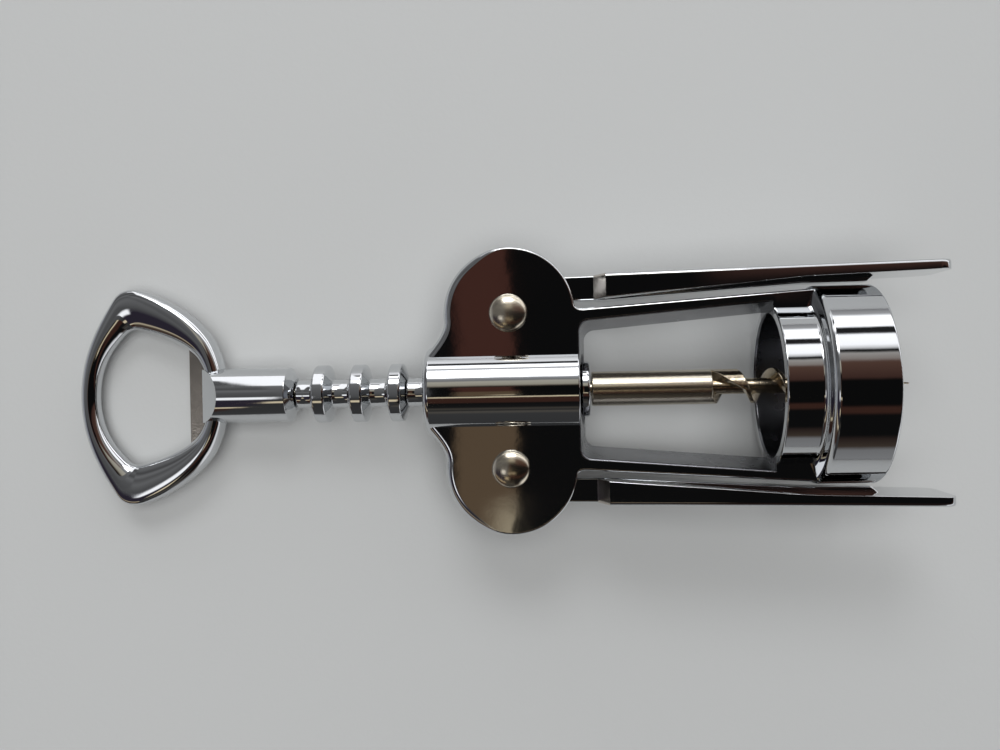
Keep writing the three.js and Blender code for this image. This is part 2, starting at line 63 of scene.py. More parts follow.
MM = 0.001
# The third slot, for the faces of hollows, takes the darker chrome that is painted shade.
POLISHED, CAST, SHADED_INSIDE = 0, 1, 2     # material slots of every casting
OVER = 1.0                           # how far a cutter runs past the face it cuts
BURY = 0.3                           # how far one shape is sunk into the shape it joins


# ---- Sizes and colours ---------------------------------------------------------------------


def length(label, description, millimetres):
    return bpy.props.FloatProperty(
        name=label, description=description, default=millimetres * MM,
        subtype="DISTANCE", unit="LENGTH", precision=5)


def angle(label, description, degrees):
    return bpy.props.FloatProperty(
        name=label, description=description, default=math.radians(degrees),
        subtype="ANGLE", unit="ROTATION")


def count(label, description, number):
    return bpy.props.IntProperty(name=label, description=description, default=number, min=1)


def colour(label, description, code):
    return bpy.props.StringProperty(name=label, description=description, default=code)


class HeadSizes(bpy.types.PropertyGroup):
    head_thickness: length("Head thickness", "Head and legs, front to back", 11.0)
    lobe_radius: length("Lobe radius", "Outer radius of the lobe round each lever pivot", 12.23)
    slot_radius: length("Slot radius", "Room for the lever's teeth inside a lobe", 11.48)
    slot_width: length("Slot width", "Gap between the cheeks of a lobe", 5.3)
    head_base: length("Head base", "Pivot line to the head's lower edge", 12.95)
    barrel_top: length("Barrel top", "Pivot line to the barrel's upper end", 16.0)
    barrel_radius: length("Barrel radius", "Outside of the guide barrel", 8.5)
    barrel_bore: length("Barrel bore", "Bore radius of the guide barrel", 5.9)
    barrel_round: length("Barrel round", "Rounding of the barrel's upper edge", 1.1)
    barrel_shoulder: length("Shoulder", "Axis to where the lobe's curve meets the barrel's end", 6.4)
    edge_round: length("Edge rounding", "Rounding of the cast edges", 0.42)
    lobe_bevel: length("Lobe bevel", "Extra rounding of the lobes' upper edges", 1.05)
    rivet_hole: length("Rivet hole", "Radius of the rivets' holes", 2.2)


class LegSizes(bpy.types.PropertyGroup):
    leg_length: length("Leg length", "Head's lower edge to the collar's rim", 34.95)
    leg_thickness: length("Leg thickness", "Thickness of a leg", 2.2)
    leg_root: length("Leg root", "Axis to the outer edge of a leg's root", 14.88)
    leg_foot: length("Leg foot", "Axis to the outer edge of a leg's foot", 17.48)
    window_draft: length("Window draft", "How much the window narrows from front to back", 1.45)
    window_round: length("Window corner", "Corner radius of the window", 2.1)
    window_lip: length("Window lip", "Rounding of the window's rims", 0.38)


class BellSizes(bpy.types.PropertyGroup):
    collar_radius: length("Collar radius", "Outside of the collar", 15.1)
    collar_length: length("Collar length", "Length of the collar", 5.7)
    skirt_radius: length("Skirt radius", "Outside of the skirt", 18.28)
    skirt_length: length("Skirt length", "Length of the skirt", 9.8)
    shoulder_length: length("Shoulder length", "From the collar to the skirt", 2.55)
    bell_wall: length("Bell wall", "Wall of the collar and skirt", 1.8)
    seat_thickness: length("Seat", "Thickness of the step that sits on the bottle", 1.7)


class RackSizes(bpy.types.PropertyGroup):
    ring_radius: length("Ring radius", "Outside of a rack ring", 5.55)
    ring_root: length("Root radius", "Stem between the rings", 2.67)
    ring_pitch: length("Ring pitch", "Ring to ring", 7.26)
    ring_land: length("Ring land", "Width of a ring at its rim", 2.3)
    ring_round: length("Ring rounding", "Rounding of a ring's edges", 0.42)
    ring_flank: angle("Flank angle", "Slope of a ring's sides", 18.0)
    rings_above: count("Rings above", "Whole rings above the pivot line", 5)
    rings_below: count("Rings below", "Rings below the pivot line", 1)
    rack_top: length("Rack top", "Last ring to the rack's upper end", 5.0)
    rack_bore: length("Rack bore", "Bore radius for the worm's rod", 1.75)
    flange_radius: length("Flange radius", "Lower flange", 5.2)
    flange_start: length("Flange start", "Pivot line to the lower flange", 13.38)
    flange_width: length("Flange width", "Width of the lower flange", 1.45)


class LeverSizes(bpy.types.PropertyGroup):
    pivot_offset: length("Pivot offset", "Axis to each lever's pivot", 14.35)
    gear_tip: length("Tooth tip radius", "Tip radius of the lever's teeth", 11.18)
    gear_pitch: length("Pitch radius", "Pitch radius of the lever's teeth", 10.24)
    gear_clearance: length("Tooth clearance", "Ring to the root of the teeth", 0.3)
    flank_clearance: length("Flank clearance", "Each side of a ring, between the teeth", 0.2)
    hub_radius: length("Hub radius", "Hub where it has no teeth", 8.4)
    hub_thickness: length("Hub thickness", "Lever's hub, front to back", 4.6)
    lever_reach: length("Lever reach", "Pivot to the lever's tip", 79.3)
    lever_width: length("Lever width", "Tongue, front to back", 13.5)
    lever_outer: length("Lever outer face", "Axis to the tongue's outer face at the collar", 21.6)
    lever_splay: angle("Lever splay", "Slope of the tongue's outer face", 0.75)
    tongue_root: length("Tongue root", "Pivot to the tongue's full width", 17.95)
    tongue_ramp: length("Tongue ramp", "Length of the ramp from hub to tongue", 2.15)
    root_thickness: length("Root thickness", "Tongue at its root", 4.4)
    mid_thickness: length("Middle thickness", "Tongue at the collar", 2.1)
    tip_thickness: length("Tip thickness", "Tongue at its tip", 1.75)
    tip_round: length("Tip corners", "Corner radius of the tip", 2.5)
    neck_inset: length("Neck inset", "Pivot to the inner edge of the hub's neck", 2.25)
    rib_inner: length("Rib inner edge", "Axis to the rib's inner edge at the bell", 18.75)
    rib_width: length("Rib width", "Inner rib, front to back", 3.6)
    rib_end: length("Rib end", "Rib's end to the lever's tip", 13.7)
    tongue_crown: length("Crown", "Crown of the tongue's outer face", 0.32)
    tongue_edge: length("Tongue edge", "Rounding of the tongue's inner edges", 0.16)
    tongue_bevel: length("Tongue bevel", "Rounding of the tongue's outer edges", 0.62)


class HandleSizes(bpy.types.PropertyGroup):
    neck_top: length("Neck top", "Pivot line to the top of the neck", 58.9)
    neck_base: length("Neck base", "Pivot line to the neck's lower end", 41.6)
    neck_top_radius: length("Neck top radius", "Neck at the ring", 5.4)
    neck_base_radius: length("Neck base radius", "Neck at its lower end", 5.2)
    neck_chamfer: length("Neck chamfer", "Length of the cone at the neck's end", 1.2)
    ring_length: length("Ring length", "Top of the neck to the ring's far end", 26.05)
    ring_half_width: length("Ring half width", "Axis to the ring's corner", 21.0)
    ring_corner: length("Ring corner", "Top of the neck to the ring's widest place", 15.3)
    bar_end: length("Bar at the end", "Width of the bar at the far end", 3.45)
    bar_side: length("Bar at the corners", "Width of the bar at the corners", 7.7)
    ring_root_depth: length("Root depth", "Ring at the neck, front to back", 5.2)
    ring_far_depth: length("Far depth", "Ring at its far end, front to back", 4.0)
    neck_slope: length("Neck slope", "Length of the sloped flats", 3.2)
    web_thickness: length("Web thickness", "Thickness of the cap lifter's web", 1.4)
    web_reach: length("Web reach", "Top of the neck to the cap lifter's edge", 4.6)
    web_drop: length("Web drop", "Web behind the middle plane", 0.7)


class WormSizes(bpy.types.PropertyGroup):
    rod_radius: length("Rod radius", "Rod through the rack, and the auger's core", 1.45)
    rod_end: length("Rod end", "Pivot line to the rod's upper end", 53.1)
    shank_radius: length("Shank radius", "Shank below the rack", 3.25)
    shank_start: length("Shank start", "Pivot line to the shank's upper end", 15.13)
    shank_end: length("Shank end", "Pivot line to the shank's lower end", 37.3)
    worm_pitch: length("Worm pitch", "Advance of the thread in one turn", 7.2)
    worm_tip: length("Worm tip", "Pivot line to the worm's point", 73.45)
    worm_taper: length("Worm taper", "Length over which the worm runs to its point", 7.2)
    thread_root: length("Thread root", "Width of the thread at the core", 2.6)
    thread_crest: length("Thread crest", "Width of the thread at its crest", 0.8)
    thread_solid: length("Solid start", "How far past the shank the thread's first turn is solid", 4.5)
    thread_lead: length("Thread lead", "The thread's start, back inside the shank", 2.95)


class RivetSizes(bpy.types.PropertyGroup):
    rivet_radius: length("Rivet radius", "Rivet's body", 1.9)
    rivet_head: length("Head radius", "Domed head", 3.5)
    rivet_dome: length("Head height", "Height of the domed head", 1.7)
    rivet_tail: length("Tail radius", "Peened tail", 3.1)
    rivet_peen: length("Tail height", "Height of the peened tail", 1.1)
    rivet_seat: length("Seat clearance", "Head to the frame's cheek", 0.3)


class Finishes(bpy.types.PropertyGroup):
    chrome: colour("Chrome", "Chrome plate", "#CFD1D3")
    cast_chrome: colour("Cast chrome", "Chrome plate over the raw casting", "#D2CAC0")
    # The inside colour is darker than the chrome: it is painted shade for the hollows.
    inside_chrome: colour("Inside chrome", "Thin plate inside hollows", "#77787C")
    nickel: colour("Nickel", "Nickel plate", "#D8CFBD")
    auger_nickel: colour("Auger nickel", "Nickel plate over the cast auger", "#BDB09A")
    table: colour("Table", "Table top", "#B1B3B3")


GROUPS = {
    "corkscrew_head": HeadSizes,
    "corkscrew_legs": LegSizes,
    "corkscrew_bell": BellSizes,
    "corkscrew_rack": RackSizes,
    "corkscrew_levers": LeverSizes,
    "corkscrew_handle": HandleSizes,
    "corkscrew_worm": WormSizes,
    "corkscrew_rivets": RivetSizes,
    "corkscrew_finishes": Finishes,
}


def sizes(context):
    """Every size of every group: lengths in millimetres, and the places that follow from them."""
    values = {}
    for group in GROUPS:
        holder = getattr(context.scene, group)
        for prop in holder.bl_rna.properties:
            if prop.identifier in {"rna_type", "name"}:
                continue
            value = getattr(holder, prop.identifier)
            values[prop.identifier] = value / MM if getattr(prop, "unit", "") == "LENGTH" else value
    s = SimpleNamespace(**values)
    s.half_head = s.head_thickness / 2
    s.half_hub = s.hub_thickness / 2
    s.collar_rim = s.head_base + s.leg_length
    s.collar_end = s.collar_rim + s.collar_length
    s.skirt_start = s.collar_end + s.shoulder_length
    s.mouth = s.skirt_start + s.skirt_length
    s.seat = s.skirt_start + s.seat_thickness
    s.rack_start = -s.rings_above * s.ring_pitch - s.rack_top
    s.ring_slope = (s.ring_radius - s.ring_root) * math.tan(s.ring_flank)
    s.ring_far = -s.neck_top - s.ring_length
    s.corner = -s.neck_top - s.ring_corner
    return s


# ---- Shapes --------------------------------------------------------------------------------


def rounded(corners, steps=6):
    """An open outline from (x, y) or (x, y, radius) corners, each corner rounded to its radius."""
    points = []
    for i, corner in enumerate(corners):
        place = np.array(corner[:2], float)
        radius = corner[2] if len(corner) > 2 else 0
        if radius == 0:
            points.append(tuple(place))
            continue
        before = np.array(corners[i - 1][:2], float) - place
        after = np.array(corners[i + 1][:2], float) - place
        before /= np.linalg.norm(before)
        after /= np.linalg.norm(after)
        half = math.acos(np.clip(before @ after, -1, 1)) / 2
        inward = (before + after) / np.linalg.norm(before + after)
        centre = place + inward * radius / math.sin(half)
        start = place + before * radius / math.tan(half) - centre
        end = place + after * radius / math.tan(half) - centre
        first = math.atan2(start[1], start[0])
        turn = math.remainder(math.atan2(end[1], end[0]) - first, 2 * math.pi)
        pieces = max(2, math.ceil(abs(turn) / (math.pi / 2) * steps - 1e-6))
        for k in range(pieces + 1):
            a = first + turn * k / pieces
            points.append((centre[0] + radius * math.cos(a), centre[1] + radius * math.sin(a)))
    return points


def bezier(controls, steps):
    """Points of a Bezier curve of any order, without its first point."""
    controls = np.array(controls, float)
    points = []
    for k in range(1, steps + 1):
        row = controls
        while len(row) > 1:
            row = row[:-1] + (row[1:] - row[:-1]) * (k / steps)
        points.append(tuple(row[0]))
    return points


def arc(centre, radius, first, last, steps):
    turns = np.linspace(first, last, steps + 1)
    return [(centre[0] + radius * math.cos(a), centre[1] + radius * math.sin(a)) for a in turns]


def solid(title, verts, faces, slot=POLISHED):
    """A closed body in bench millimetres, with its faces turned outward."""
    mesh = bpy.data.meshes.new(title)
    mesh.from_pydata([tuple(v) for v in verts], [], faces)
    work = bmesh.new()
    work.from_mesh(mesh)
    bmesh.ops.recalc_face_normals(work, faces=work.faces)
    work.to_mesh(mesh)
    work.free()
    # The third finish is the hollows' chrome, darkened as painted shade.
    for name in ("chrome", "cast_chrome", "inside_chrome"):
        mesh.materials.append(look(name))
    mesh.polygons.foreach_set("material_index", [slot] * len(mesh.polygons))
    body = bpy.data.objects.new(title, mesh)
    bpy.context.scene.collection.objects.link(body)
    return body


def revolve(name, profile, sides=128, slot=POLISHED):
    """A turned body about X, from (x, radius) points that start and end on the axis."""
    verts, rings, faces = [], [], []
    turns = np.linspace(0, 2 * math.pi, sides, endpoint=False)
    for x, radius in profile:
        first = len(verts)
        if radius < 1e-6:
            verts.append((x, 0, 0))
            rings.append([first])
            continue
        verts.extend((x, radius * math.cos(a), radius * math.sin(a)) for a in turns)
        rings.append(list(range(first, first + sides)))
    for low, high in zip(rings, rings[1:]):
        for i in range(sides):
            j = (i + 1) % sides
            corners = [low[i % len(low)], low[j % len(low)], high[j % len(high)], high[i % len(high)]]
            corners = list(dict.fromkeys(corners))
            if len(corners) > 2:
                faces.append(corners)
    return solid(name, verts, faces, slot)


def loft(name, sections, slot=POLISHED, closed=False):
    """A body through sections of equally many points, capped at both ends unless closed."""
    size = len(sections[0])
    if any(len(section) != size for section in sections):
        raise ValueError(f"{name}: its sections differ in their number of points")
    verts = np.concatenate([np.asarray(section, float) for section in sections])
    faces = []
    spans = len(sections) if closed else len(sections) - 1
    for k in range(spans):
        low, high = k * size, ((k + 1) % len(sections)) * size
        for i in range(size):
            j = (i + 1) % size
            faces.append((low + i, low + j, high + j, high + i))
    if not closed:
        faces.append(tuple(range(size)))
        faces.append(tuple(range(len(verts) - size, len(verts))))
    return solid(name, verts, faces, slot)


def outward(outline):
    """Unit outward directions of a counter-clockwise outline, lengthened at its corners."""
    along = np.roll(outline, -1, axis=0) - outline
    along /= np.linalg.norm(along, axis=1)[:, None]
    normal = np.stack([along[:, 1], -along[:, 0]], axis=1)
    mean = normal + np.roll(normal, 1, axis=0)
    mean /= np.linalg.norm(mean, axis=1)[:, None]
    stretch = np.clip((mean * normal).sum(axis=1), 0.5, 1)
    return mean / stretch[:, None]


def plate(name, outline, low, high, edge, slot=POLISHED, steps=5):
    """A flat body with rounded edges. The edge radius is one number or one for each point."""
    outline = np.array(outline, float)
    away = outward(outline)
    edge = np.broadcast_to(edge, len(outline))
    sections = []
    turns = np.linspace(0, math.pi / 2, steps + 1)
    for side, turn in [(-1, a) for a in turns] + [(1, a) for a in turns[::-1]]:
        flat = outline - away * (edge * (1 - math.sin(turn)))[:, None]
        drop = edge * (1 - math.cos(turn))
        height = low + drop if side < 0 else high - drop
        sections.append(np.column_stack([flat, height]))
    return loft(name, sections, slot)


def combine(body, operation, other):
    """Joins, cuts or intersects two bodies, and keeps the first."""
    change = body.modifiers.new(operation, "BOOLEAN")
    change.operation = operation
    change.solver = "MANIFOLD"
    change.object = other
    graph = bpy.context.evaluated_depsgraph_get()
    mesh = bpy.data.meshes.new_from_object(body.evaluated_get(graph))
    body.modifiers.clear()
    if not mesh.polygons:
        raise RuntimeError(f"{body.name}: nothing is left after {operation} with {other.name}")
    body.data = mesh
    bpy.data.objects.remove(other)
    return body


def bench_matrix():
    """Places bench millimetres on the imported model, from its joints' axes and pivots."""
    along = Vector(JOINTS["rack_slide"]["axis"]).normalized()
    up = Vector(JOINTS["right_lever_swing"]["axis"]).normalized()
    across = up.cross(along)
    right = Vector(JOINTS["right_lever_swing"]["pos_m"])
    left = Vector(JOINTS["left_lever_swing"]["pos_m"])
    place = Matrix((along, across, up)).transposed().to_4x4()
    place.translation = (right + left) / 2
    return place


BENCH = bench_matrix()
CREASE = math.radians(30)


def finish_piece(body, name, rides, node):
    """Lays a body on the table, smooths it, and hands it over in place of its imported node."""
    mesh = body.data
    mesh.transform(BENCH @ Matrix.Scale(MM, 4))
    work = bmesh.new()
    work.from_mesh(mesh)
    for face in work.faces:
        face.smooth = True
    for edge in work.edges:
        edge.smooth = len(edge.link_faces) == 2 and edge.calc_face_angle(0) < CREASE
    work.to_mesh(mesh)
    work.free()
    flatten = body.modifiers.new("Flat faces stay flat", "WEIGHTED_NORMAL")
    flatten.keep_sharp = True
    graph = bpy.context.evaluated_depsgraph_get()
    body.data = bpy.data.meshes.new_from_object(body.evaluated_get(graph))
    body.modifiers.clear()
    body.name = name
    body.data.name = name
    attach(body, rides)
    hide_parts(node)
    return body


# ---- Finishes ------------------------------------------------------------------------------


def linear(code):
    """An sRGB hex colour as linear RGBA."""
    parts = [int(code[i:i + 2], 16) / 255 for i in (1, 3, 5)]
    return [c / 12.92 if c <= 0.04045 else ((c + 0.055) / 1.055) ** 2.4 for c in parts] + [1.0]


def add(tree, kind, inputs=None, **settings):
    """A node with its settings, and its inputs set to values or linked to sockets."""
    node = tree.nodes.new(kind)
    for key, value in settings.items():
        setattr(node, key, value)
    for key, value in (inputs or {}).items():
        if isinstance(value, bpy.types.NodeSocket):
            tree.links.new(value, node.inputs[key])
        else:
            node.inputs[key].default_value = value
    return node


def metal(name, code, roughness, spread, wave, wave_height, grain, grain_height, stretch=1.0):
    """A plated metal. The casting under the plate undulates over `wave` millimetres and has a
    grain of `grain` millimetres, and handling leaves the roughness uneven by `spread`."""
    material = bpy.data.materials.new(name)
    material.use_nodes = True
    tree = material.node_tree
    tree.nodes.clear()
    place = add(tree, "ShaderNodeTexCoord")
    tilt = math.atan2(BENCH[2][0], BENCH[0][0])
    bench = add(tree, "ShaderNodeMapping", {
        "Vector": place.outputs["Object"], "Rotation": (0, tilt, 0), "Scale": (1 / stretch, 1, 1)})
    broad = add(tree, "ShaderNodeTexNoise", {
        "Vector": bench.outputs[0], "Scale": 1 / (wave * MM), "Detail": 1.0, "Roughness": 0.4})
    fine = add(tree, "ShaderNodeTexNoise", {
        "Vector": bench.outputs[0], "Scale": 1 / (grain * MM), "Detail": 2.0, "Roughness": 0.55})
    handled = add(tree, "ShaderNodeTexNoise", {
        "Vector": bench.outputs[0], "Scale": 1 / (3.5 * wave * MM), "Detail": 4.0})
    level = add(tree, "ShaderNodeMapRange", {
        "Value": handled.outputs[0], "From Min": 0.35, "From Max": 0.7,
        "To Min": roughness - spread / 2, "To Max": roughness + spread / 2})
    swell = add(tree, "ShaderNodeBump", {
        "Height": broad.outputs[0], "Strength": 1.0, "Distance": wave_height * MM})
    skin = add(tree, "ShaderNodeBump", {
        "Height": fine.outputs[0], "Strength": 1.0, "Distance": grain_height * MM,
        "Normal": swell.outputs[0]})
    shader = add(tree, "ShaderNodeBsdfPrincipled", {
        "Base Color": linear(code), "Metallic": 1.0, "Roughness": level.outputs[0],
        "Normal": skin.outputs[0]})
    add(tree, "ShaderNodeOutputMaterial", {"Surface": shader.outputs[0]})
    return material


def make_looks(s):
    # Bright chrome over a tumbled zinc casting: a mirror that bends its reflections a little.
    metal("chrome", s.chrome, roughness=0.04, spread=0.03,
          wave=5.0, wave_height=0.012, grain=0.9, grain_height=0.0012)
    # The same plate where the casting was not tumbled, so its sand-like skin shows through.
    metal("cast_chrome", s.cast_chrome, roughness=0.2, spread=0.12,
          wave=3.0, wave_height=0.03, grain=0.45, grain_height=0.022)
    # Inside the hollows the plate is rougher, so it looks duller than the outside, and its darker
    # colour is painted shade.
    metal("inside_chrome", s.inside_chrome, roughness=0.26, spread=0.12,
          wave=3.0, wave_height=0.03, grain=0.45, grain_height=0.018)
    # Nickel over drawn steel: warmer and softer, with faint lines along the rod.
    metal("nickel", s.nickel, roughness=0.22, spread=0.1,
          wave=2.2, wave_height=0.01, grain=0.35, grain_height=0.004, stretch=14.0)
    # Nickel over the auger's rough casting, which glitters.
    metal("auger_nickel", s.auger_nickel, roughness=0.2, spread=0.12,
          wave=1.6, wave_height=0.05, grain=0.4, grain_height=0.03)


def look(name):
    return bpy.data.materials[name]


# ---- Frame ---------------------------------------------------------------------------------


def frame_outline(s):
    """The head's two lobes and the outer edges of the legs."""
    lobe_end, leg_start = math.radians(186), math.radians(8)
    fillet, curve_pull, end_pull, end_spread = 0.8, 2.4, 1.9, 2.5
    centre = (0, s.pivot_offset)
    side, start = (arc(centre, s.lobe_radius, a, a, 1)[0] for a in (lobe_end, leg_start))
    leg = (s.head_base + fillet, s.leg_root)
    half = [(s.skirt_start, s.leg_foot)]
    along = np.linspace(0, 1, 12)[1:, None]
    half += [tuple(p) for p in np.array(half[0]) + (np.array(leg) - half[0]) * along]
    half += bezier([leg, (s.lobe_radius, s.leg_root), start], 8)
    half += arc(centre, s.lobe_radius, leg_start, lobe_end, 90)[1:]
    end = (-s.barrel_top, s.barrel_shoulder)
    half += bezier([side, (side[0], side[1] - curve_pull),
                    (end[0] + end_pull, end[1] + end_spread), end], 16)
    return half + [(x, -y) for x, y in reversed(half)]


def window_outline(s, margin):
    """The window between the legs, moved in by a margin on the head and leg sides."""
    head_share = 0.7
    root = s.head_base + margin * head_share
    top = s.leg_root - s.leg_thickness - margin
    foot = s.leg_foot - s.leg_thickness - margin
    r = s.window_round
    points = [(s.collar_rim, -foot), (s.collar_rim, foot)]
    points += arc((root + r, top - r), r, math.pi / 2, math.pi, 10)
    points += arc((root + r, r - top), r, math.pi, math.pi * 1.5, 10)
    return points


def window_cutter(s):
    """The window's hollow: drafted from front to back, with a rounded lip at both faces."""
    lip = s.window_lip
    depths = [0] + [lip * (1 - math.cos(a)) for a in np.linspace(0, math.pi / 2, 6)][1:]
    sections = []
    for side in (-1, 1):
        part = []
        for depth in depths:
            z = side * (s.half_head - depth)
            flare = lip - math.sqrt(max(0, lip ** 2 - (lip - depth) ** 2))
            draft = s.window_draft * (s.half_head - z) / s.head_thickness
            part.append(np.array([(x, y, z) for x, y in window_outline(s, draft - flare)]))
        beyond = part[0].copy()
        beyond[:, 2] = side * (s.half_head + OVER)
        part.insert(0, beyond)
        sections += part if side < 0 else part[::-1]
    return loft("window", sections, SHADED_INSIDE)


def slot_cutter(s, side):
    """Room for one lever's hub, open outward over the lever's whole swing."""
    swing = math.radians(JOINTS["right_lever_swing"]["range_deg"][1])
    open_margin, stop_margin, past_lobe = 0.07, 0.035, 3
    opening = math.asin(s.neck_inset / s.lobe_radius) - open_margin
    stop = math.asin(lever_outer_edge(s, s.slot_radius) / s.slot_radius) + swing + stop_margin
    centre = (0, s.pivot_offset)
    points = arc(centre, s.lobe_radius + past_lobe, opening, stop, 48)
    points += arc(centre, s.slot_radius, stop, 2 * math.pi + opening, 72)
    half = s.slot_width / 2
    sections = [[(x, y * side, z) for x, y in points] for z in (-half, half)]
    return loft("slot", sections, SHADED_INSIDE)


def head_and_legs(s):
    """The flat casting, with wider rounding where the lobes' edges face the handle."""
    outline = np.array(frame_outline(s))
    facing = -outward(outline)[:, 0] * (outline[:, 0] < 0)
    bevel_from, bevel_over = 0.05, 0.6
    wide = np.clip((facing - bevel_from) / bevel_over, 0, 1)
    edges = s.edge_round + s.lobe_bevel * wide * wide * (3 - 2 * wide)
    return plate("frame", outline, -s.half_head, s.half_head, edges)


def barrel_body(s):
    base_round = 0.3
    return revolve("barrel", rounded([
        (-s.barrel_top, 0), (-s.barrel_top, s.barrel_radius, s.barrel_round),
        (s.head_base, s.barrel_radius, base_round), (s.head_base, 0)]))


def bore_cutter(s):
    """The barrel's bore, countersunk at both ends."""
    flare, top_sink, base_sink = 1.3, 0.5, 0.4
    return revolve("bore", [
        (-s.barrel_top - OVER, 0), (-s.barrel_top - OVER, s.barrel_bore + flare),
        (-s.barrel_top + top_sink, s.barrel_bore), (s.head_base - base_sink, s.barrel_bore),
        (s.head_base + OVER, s.barrel_bore + flare), (s.head_base + OVER, 0)], slot=SHADED_INSIDE)


def bell_body(s):
    """The collar, the sweep to the skirt, and the skirt."""
    rim_round, neck_round, sweep_round, mouth_round = 0.35, 0.75, 1.2, 0.5
    sweep_start, sweep_end = s.collar_end + 1.05, s.collar_end + 1.35
    return revolve("bell", rounded([
        (s.collar_rim, 0), (s.collar_rim, s.collar_radius, rim_round),
        (sweep_start, s.collar_radius, neck_round), (sweep_end, s.skirt_radius, sweep_round),
        (s.mouth, s.skirt_radius, mouth_round), (s.mouth, 0)]), sides=192)


def bell_hollow(s):
    """The hollow of the collar and of the skirt, with the step that sits on the bottle between."""
    collar, skirt = s.collar_radius - s.bell_wall, s.skirt_radius - s.bell_wall
    flare, lip, lip_round, step_round = 0.6, 0.4, 0.3, 0.4
    return revolve("bell hollow", rounded([
        (s.collar_rim - OVER, 0), (s.collar_rim - OVER, collar + flare),
        (s.collar_rim + lip, collar, lip_round), (s.seat, collar), (s.seat, skirt, step_round),
        (s.mouth - lip, skirt, lip_round), (s.mouth + OVER, skirt + flare), (s.mouth + OVER, 0)]),
        sides=192, slot=SHADED_INSIDE)


def upright(across):
    """Stands a body turned about X upright, on a pivot line."""
    return Matrix.Translation((0, across, 0)) @ Matrix.Rotation(-math.pi / 2, 4, "Y")


def rivet_hole_cutter(s, half, across, slot):
    hole = revolve("rivet hole", [
        (-half, 0), (-half, s.rivet_hole), (half, s.rivet_hole), (half, 0)], sides=48, slot=slot)
    hole.data.transform(upright(across))
    return hole


def frame_body(s):
    body = head_and_legs(s)
    combine(body, "DIFFERENCE", window_cutter(s))
    combine(body, "UNION", barrel_body(s))
    combine(body, "UNION", bell_body(s))
    combine(body, "DIFFERENCE", bell_hollow(s))
    combine(body, "DIFFERENCE", bore_cutter(s))
    for side in (1, -1):
        combine(body, "DIFFERENCE", slot_cutter(s, side))
        hole = rivet_hole_cutter(s, s.half_head + OVER, side * s.pivot_offset, SHADED_INSIDE)
        combine(body, "DIFFERENCE", hole)
    return body


# ---- Levers --------------------------------------------------------------------------------


def tooth_radii(s, turns):
    """Radius of the gear blank in each direction, once the rack has rolled through it."""
    half_land = s.ring_land / 2 + s.flank_clearance
    half_base = s.ring_land / 2 + s.ring_slope + s.flank_clearance
    xs, heights = [], []
    for i in range(-s.rings_above, s.rings_below + 1):
        x = i * s.ring_pitch
        xs += [x - half_base, x - half_land, x + half_land, x + half_base]
        heights += [s.ring_root, s.ring_radius, s.ring_radius, s.ring_root]
    heights = np.array(heights) + s.gear_clearance
    travel = JOINTS["rack_slide"]["range_m"][1] / MM
    run_out, radius_step = 1.5, 0.02
    radii = np.arange(s.hub_radius - run_out, s.gear_tip + radius_step / 20, radius_step)
    free = np.full(len(turns), s.gear_tip)
    for slide in np.linspace(-run_out, travel + run_out, 120):
        turned = turns + slide / s.gear_pitch
        x = radii[None, :] * np.cos(turned)[:, None] - slide
        y = radii[None, :] * np.sin(turned)[:, None] + s.pivot_offset
        cut = (y < np.interp(x, xs, heights, left=-1, right=-1)) & (np.sin(turned)[:, None] < 0)
        first = np.where(cut.any(axis=1), radii[cut.argmax(axis=1)], s.gear_tip)
        free = np.minimum(free, first)
    return free


def lever_outer_edge(s, x):
    return s.lever_outer - s.pivot_offset + (x - s.collar_end) * math.tan(s.lever_splay)


def hub_body(s):
    """The toothed hub, and the neck that carries the tongue."""
    run_out = 0.25
    first = -math.pi / 2 - s.ring_pitch * (s.rings_below + 2.5) / s.gear_pitch - run_out
    last = -math.pi / 2 + s.ring_pitch * 0.5 / s.gear_pitch + run_out
    toothed = np.linspace(first, last, 420)
    radii = tooth_radii(s, toothed)
    points = [(r * math.cos(a), r * math.sin(a)) for r, a in zip(radii, toothed)]
    points += arc((0, 0), s.hub_radius, last, first + 2 * math.pi, 40)[1:-1]
    tooth_round, neck_round = 0.12, 0.25
    hub = plate("hub", points, -s.half_hub, s.half_hub, tooth_round, steps=2)
    edge = [(x, lever_outer_edge(s, x)) for x in (s.hub_radius * 0.5, s.tongue_root)]
    neck = [(0, lever_outer_edge(s, 0) - BURY), (0, s.neck_inset), (s.tongue_root, s.neck_inset),
            edge[1], edge[0]]
    return combine(hub, "UNION", plate("neck", neck, -s.half_hub, s.half_hub, neck_round))


def tongue_section(s, x, half_width, thickness, shrink=0.0):
    """A section of the tongue across X: a slim bar with round corners and a crowned outer face."""
    half_width -= shrink
    outer = lever_outer_edge(s, x) - shrink
    inner = lever_outer_edge(s, x) - thickness + shrink
    edge, bevel = s.tongue_edge, min(s.tongue_bevel, (outer - inner) * 0.45)
    middle = (outer + inner) / 2
    across = rounded([
        (-half_width, middle), (-half_width, inner, edge), (half_width, inner, edge),
        (half_width, outer, bevel), (-half_width, outer, bevel), (-half_width, middle)])
    points = []
    for z, y in across[:-1]:
        lift = s.tongue_crown * (1 - (z / half_width) ** 2) if y > (outer + inner) / 2 else 0
        points.append((x, y + lift, z))
    return points


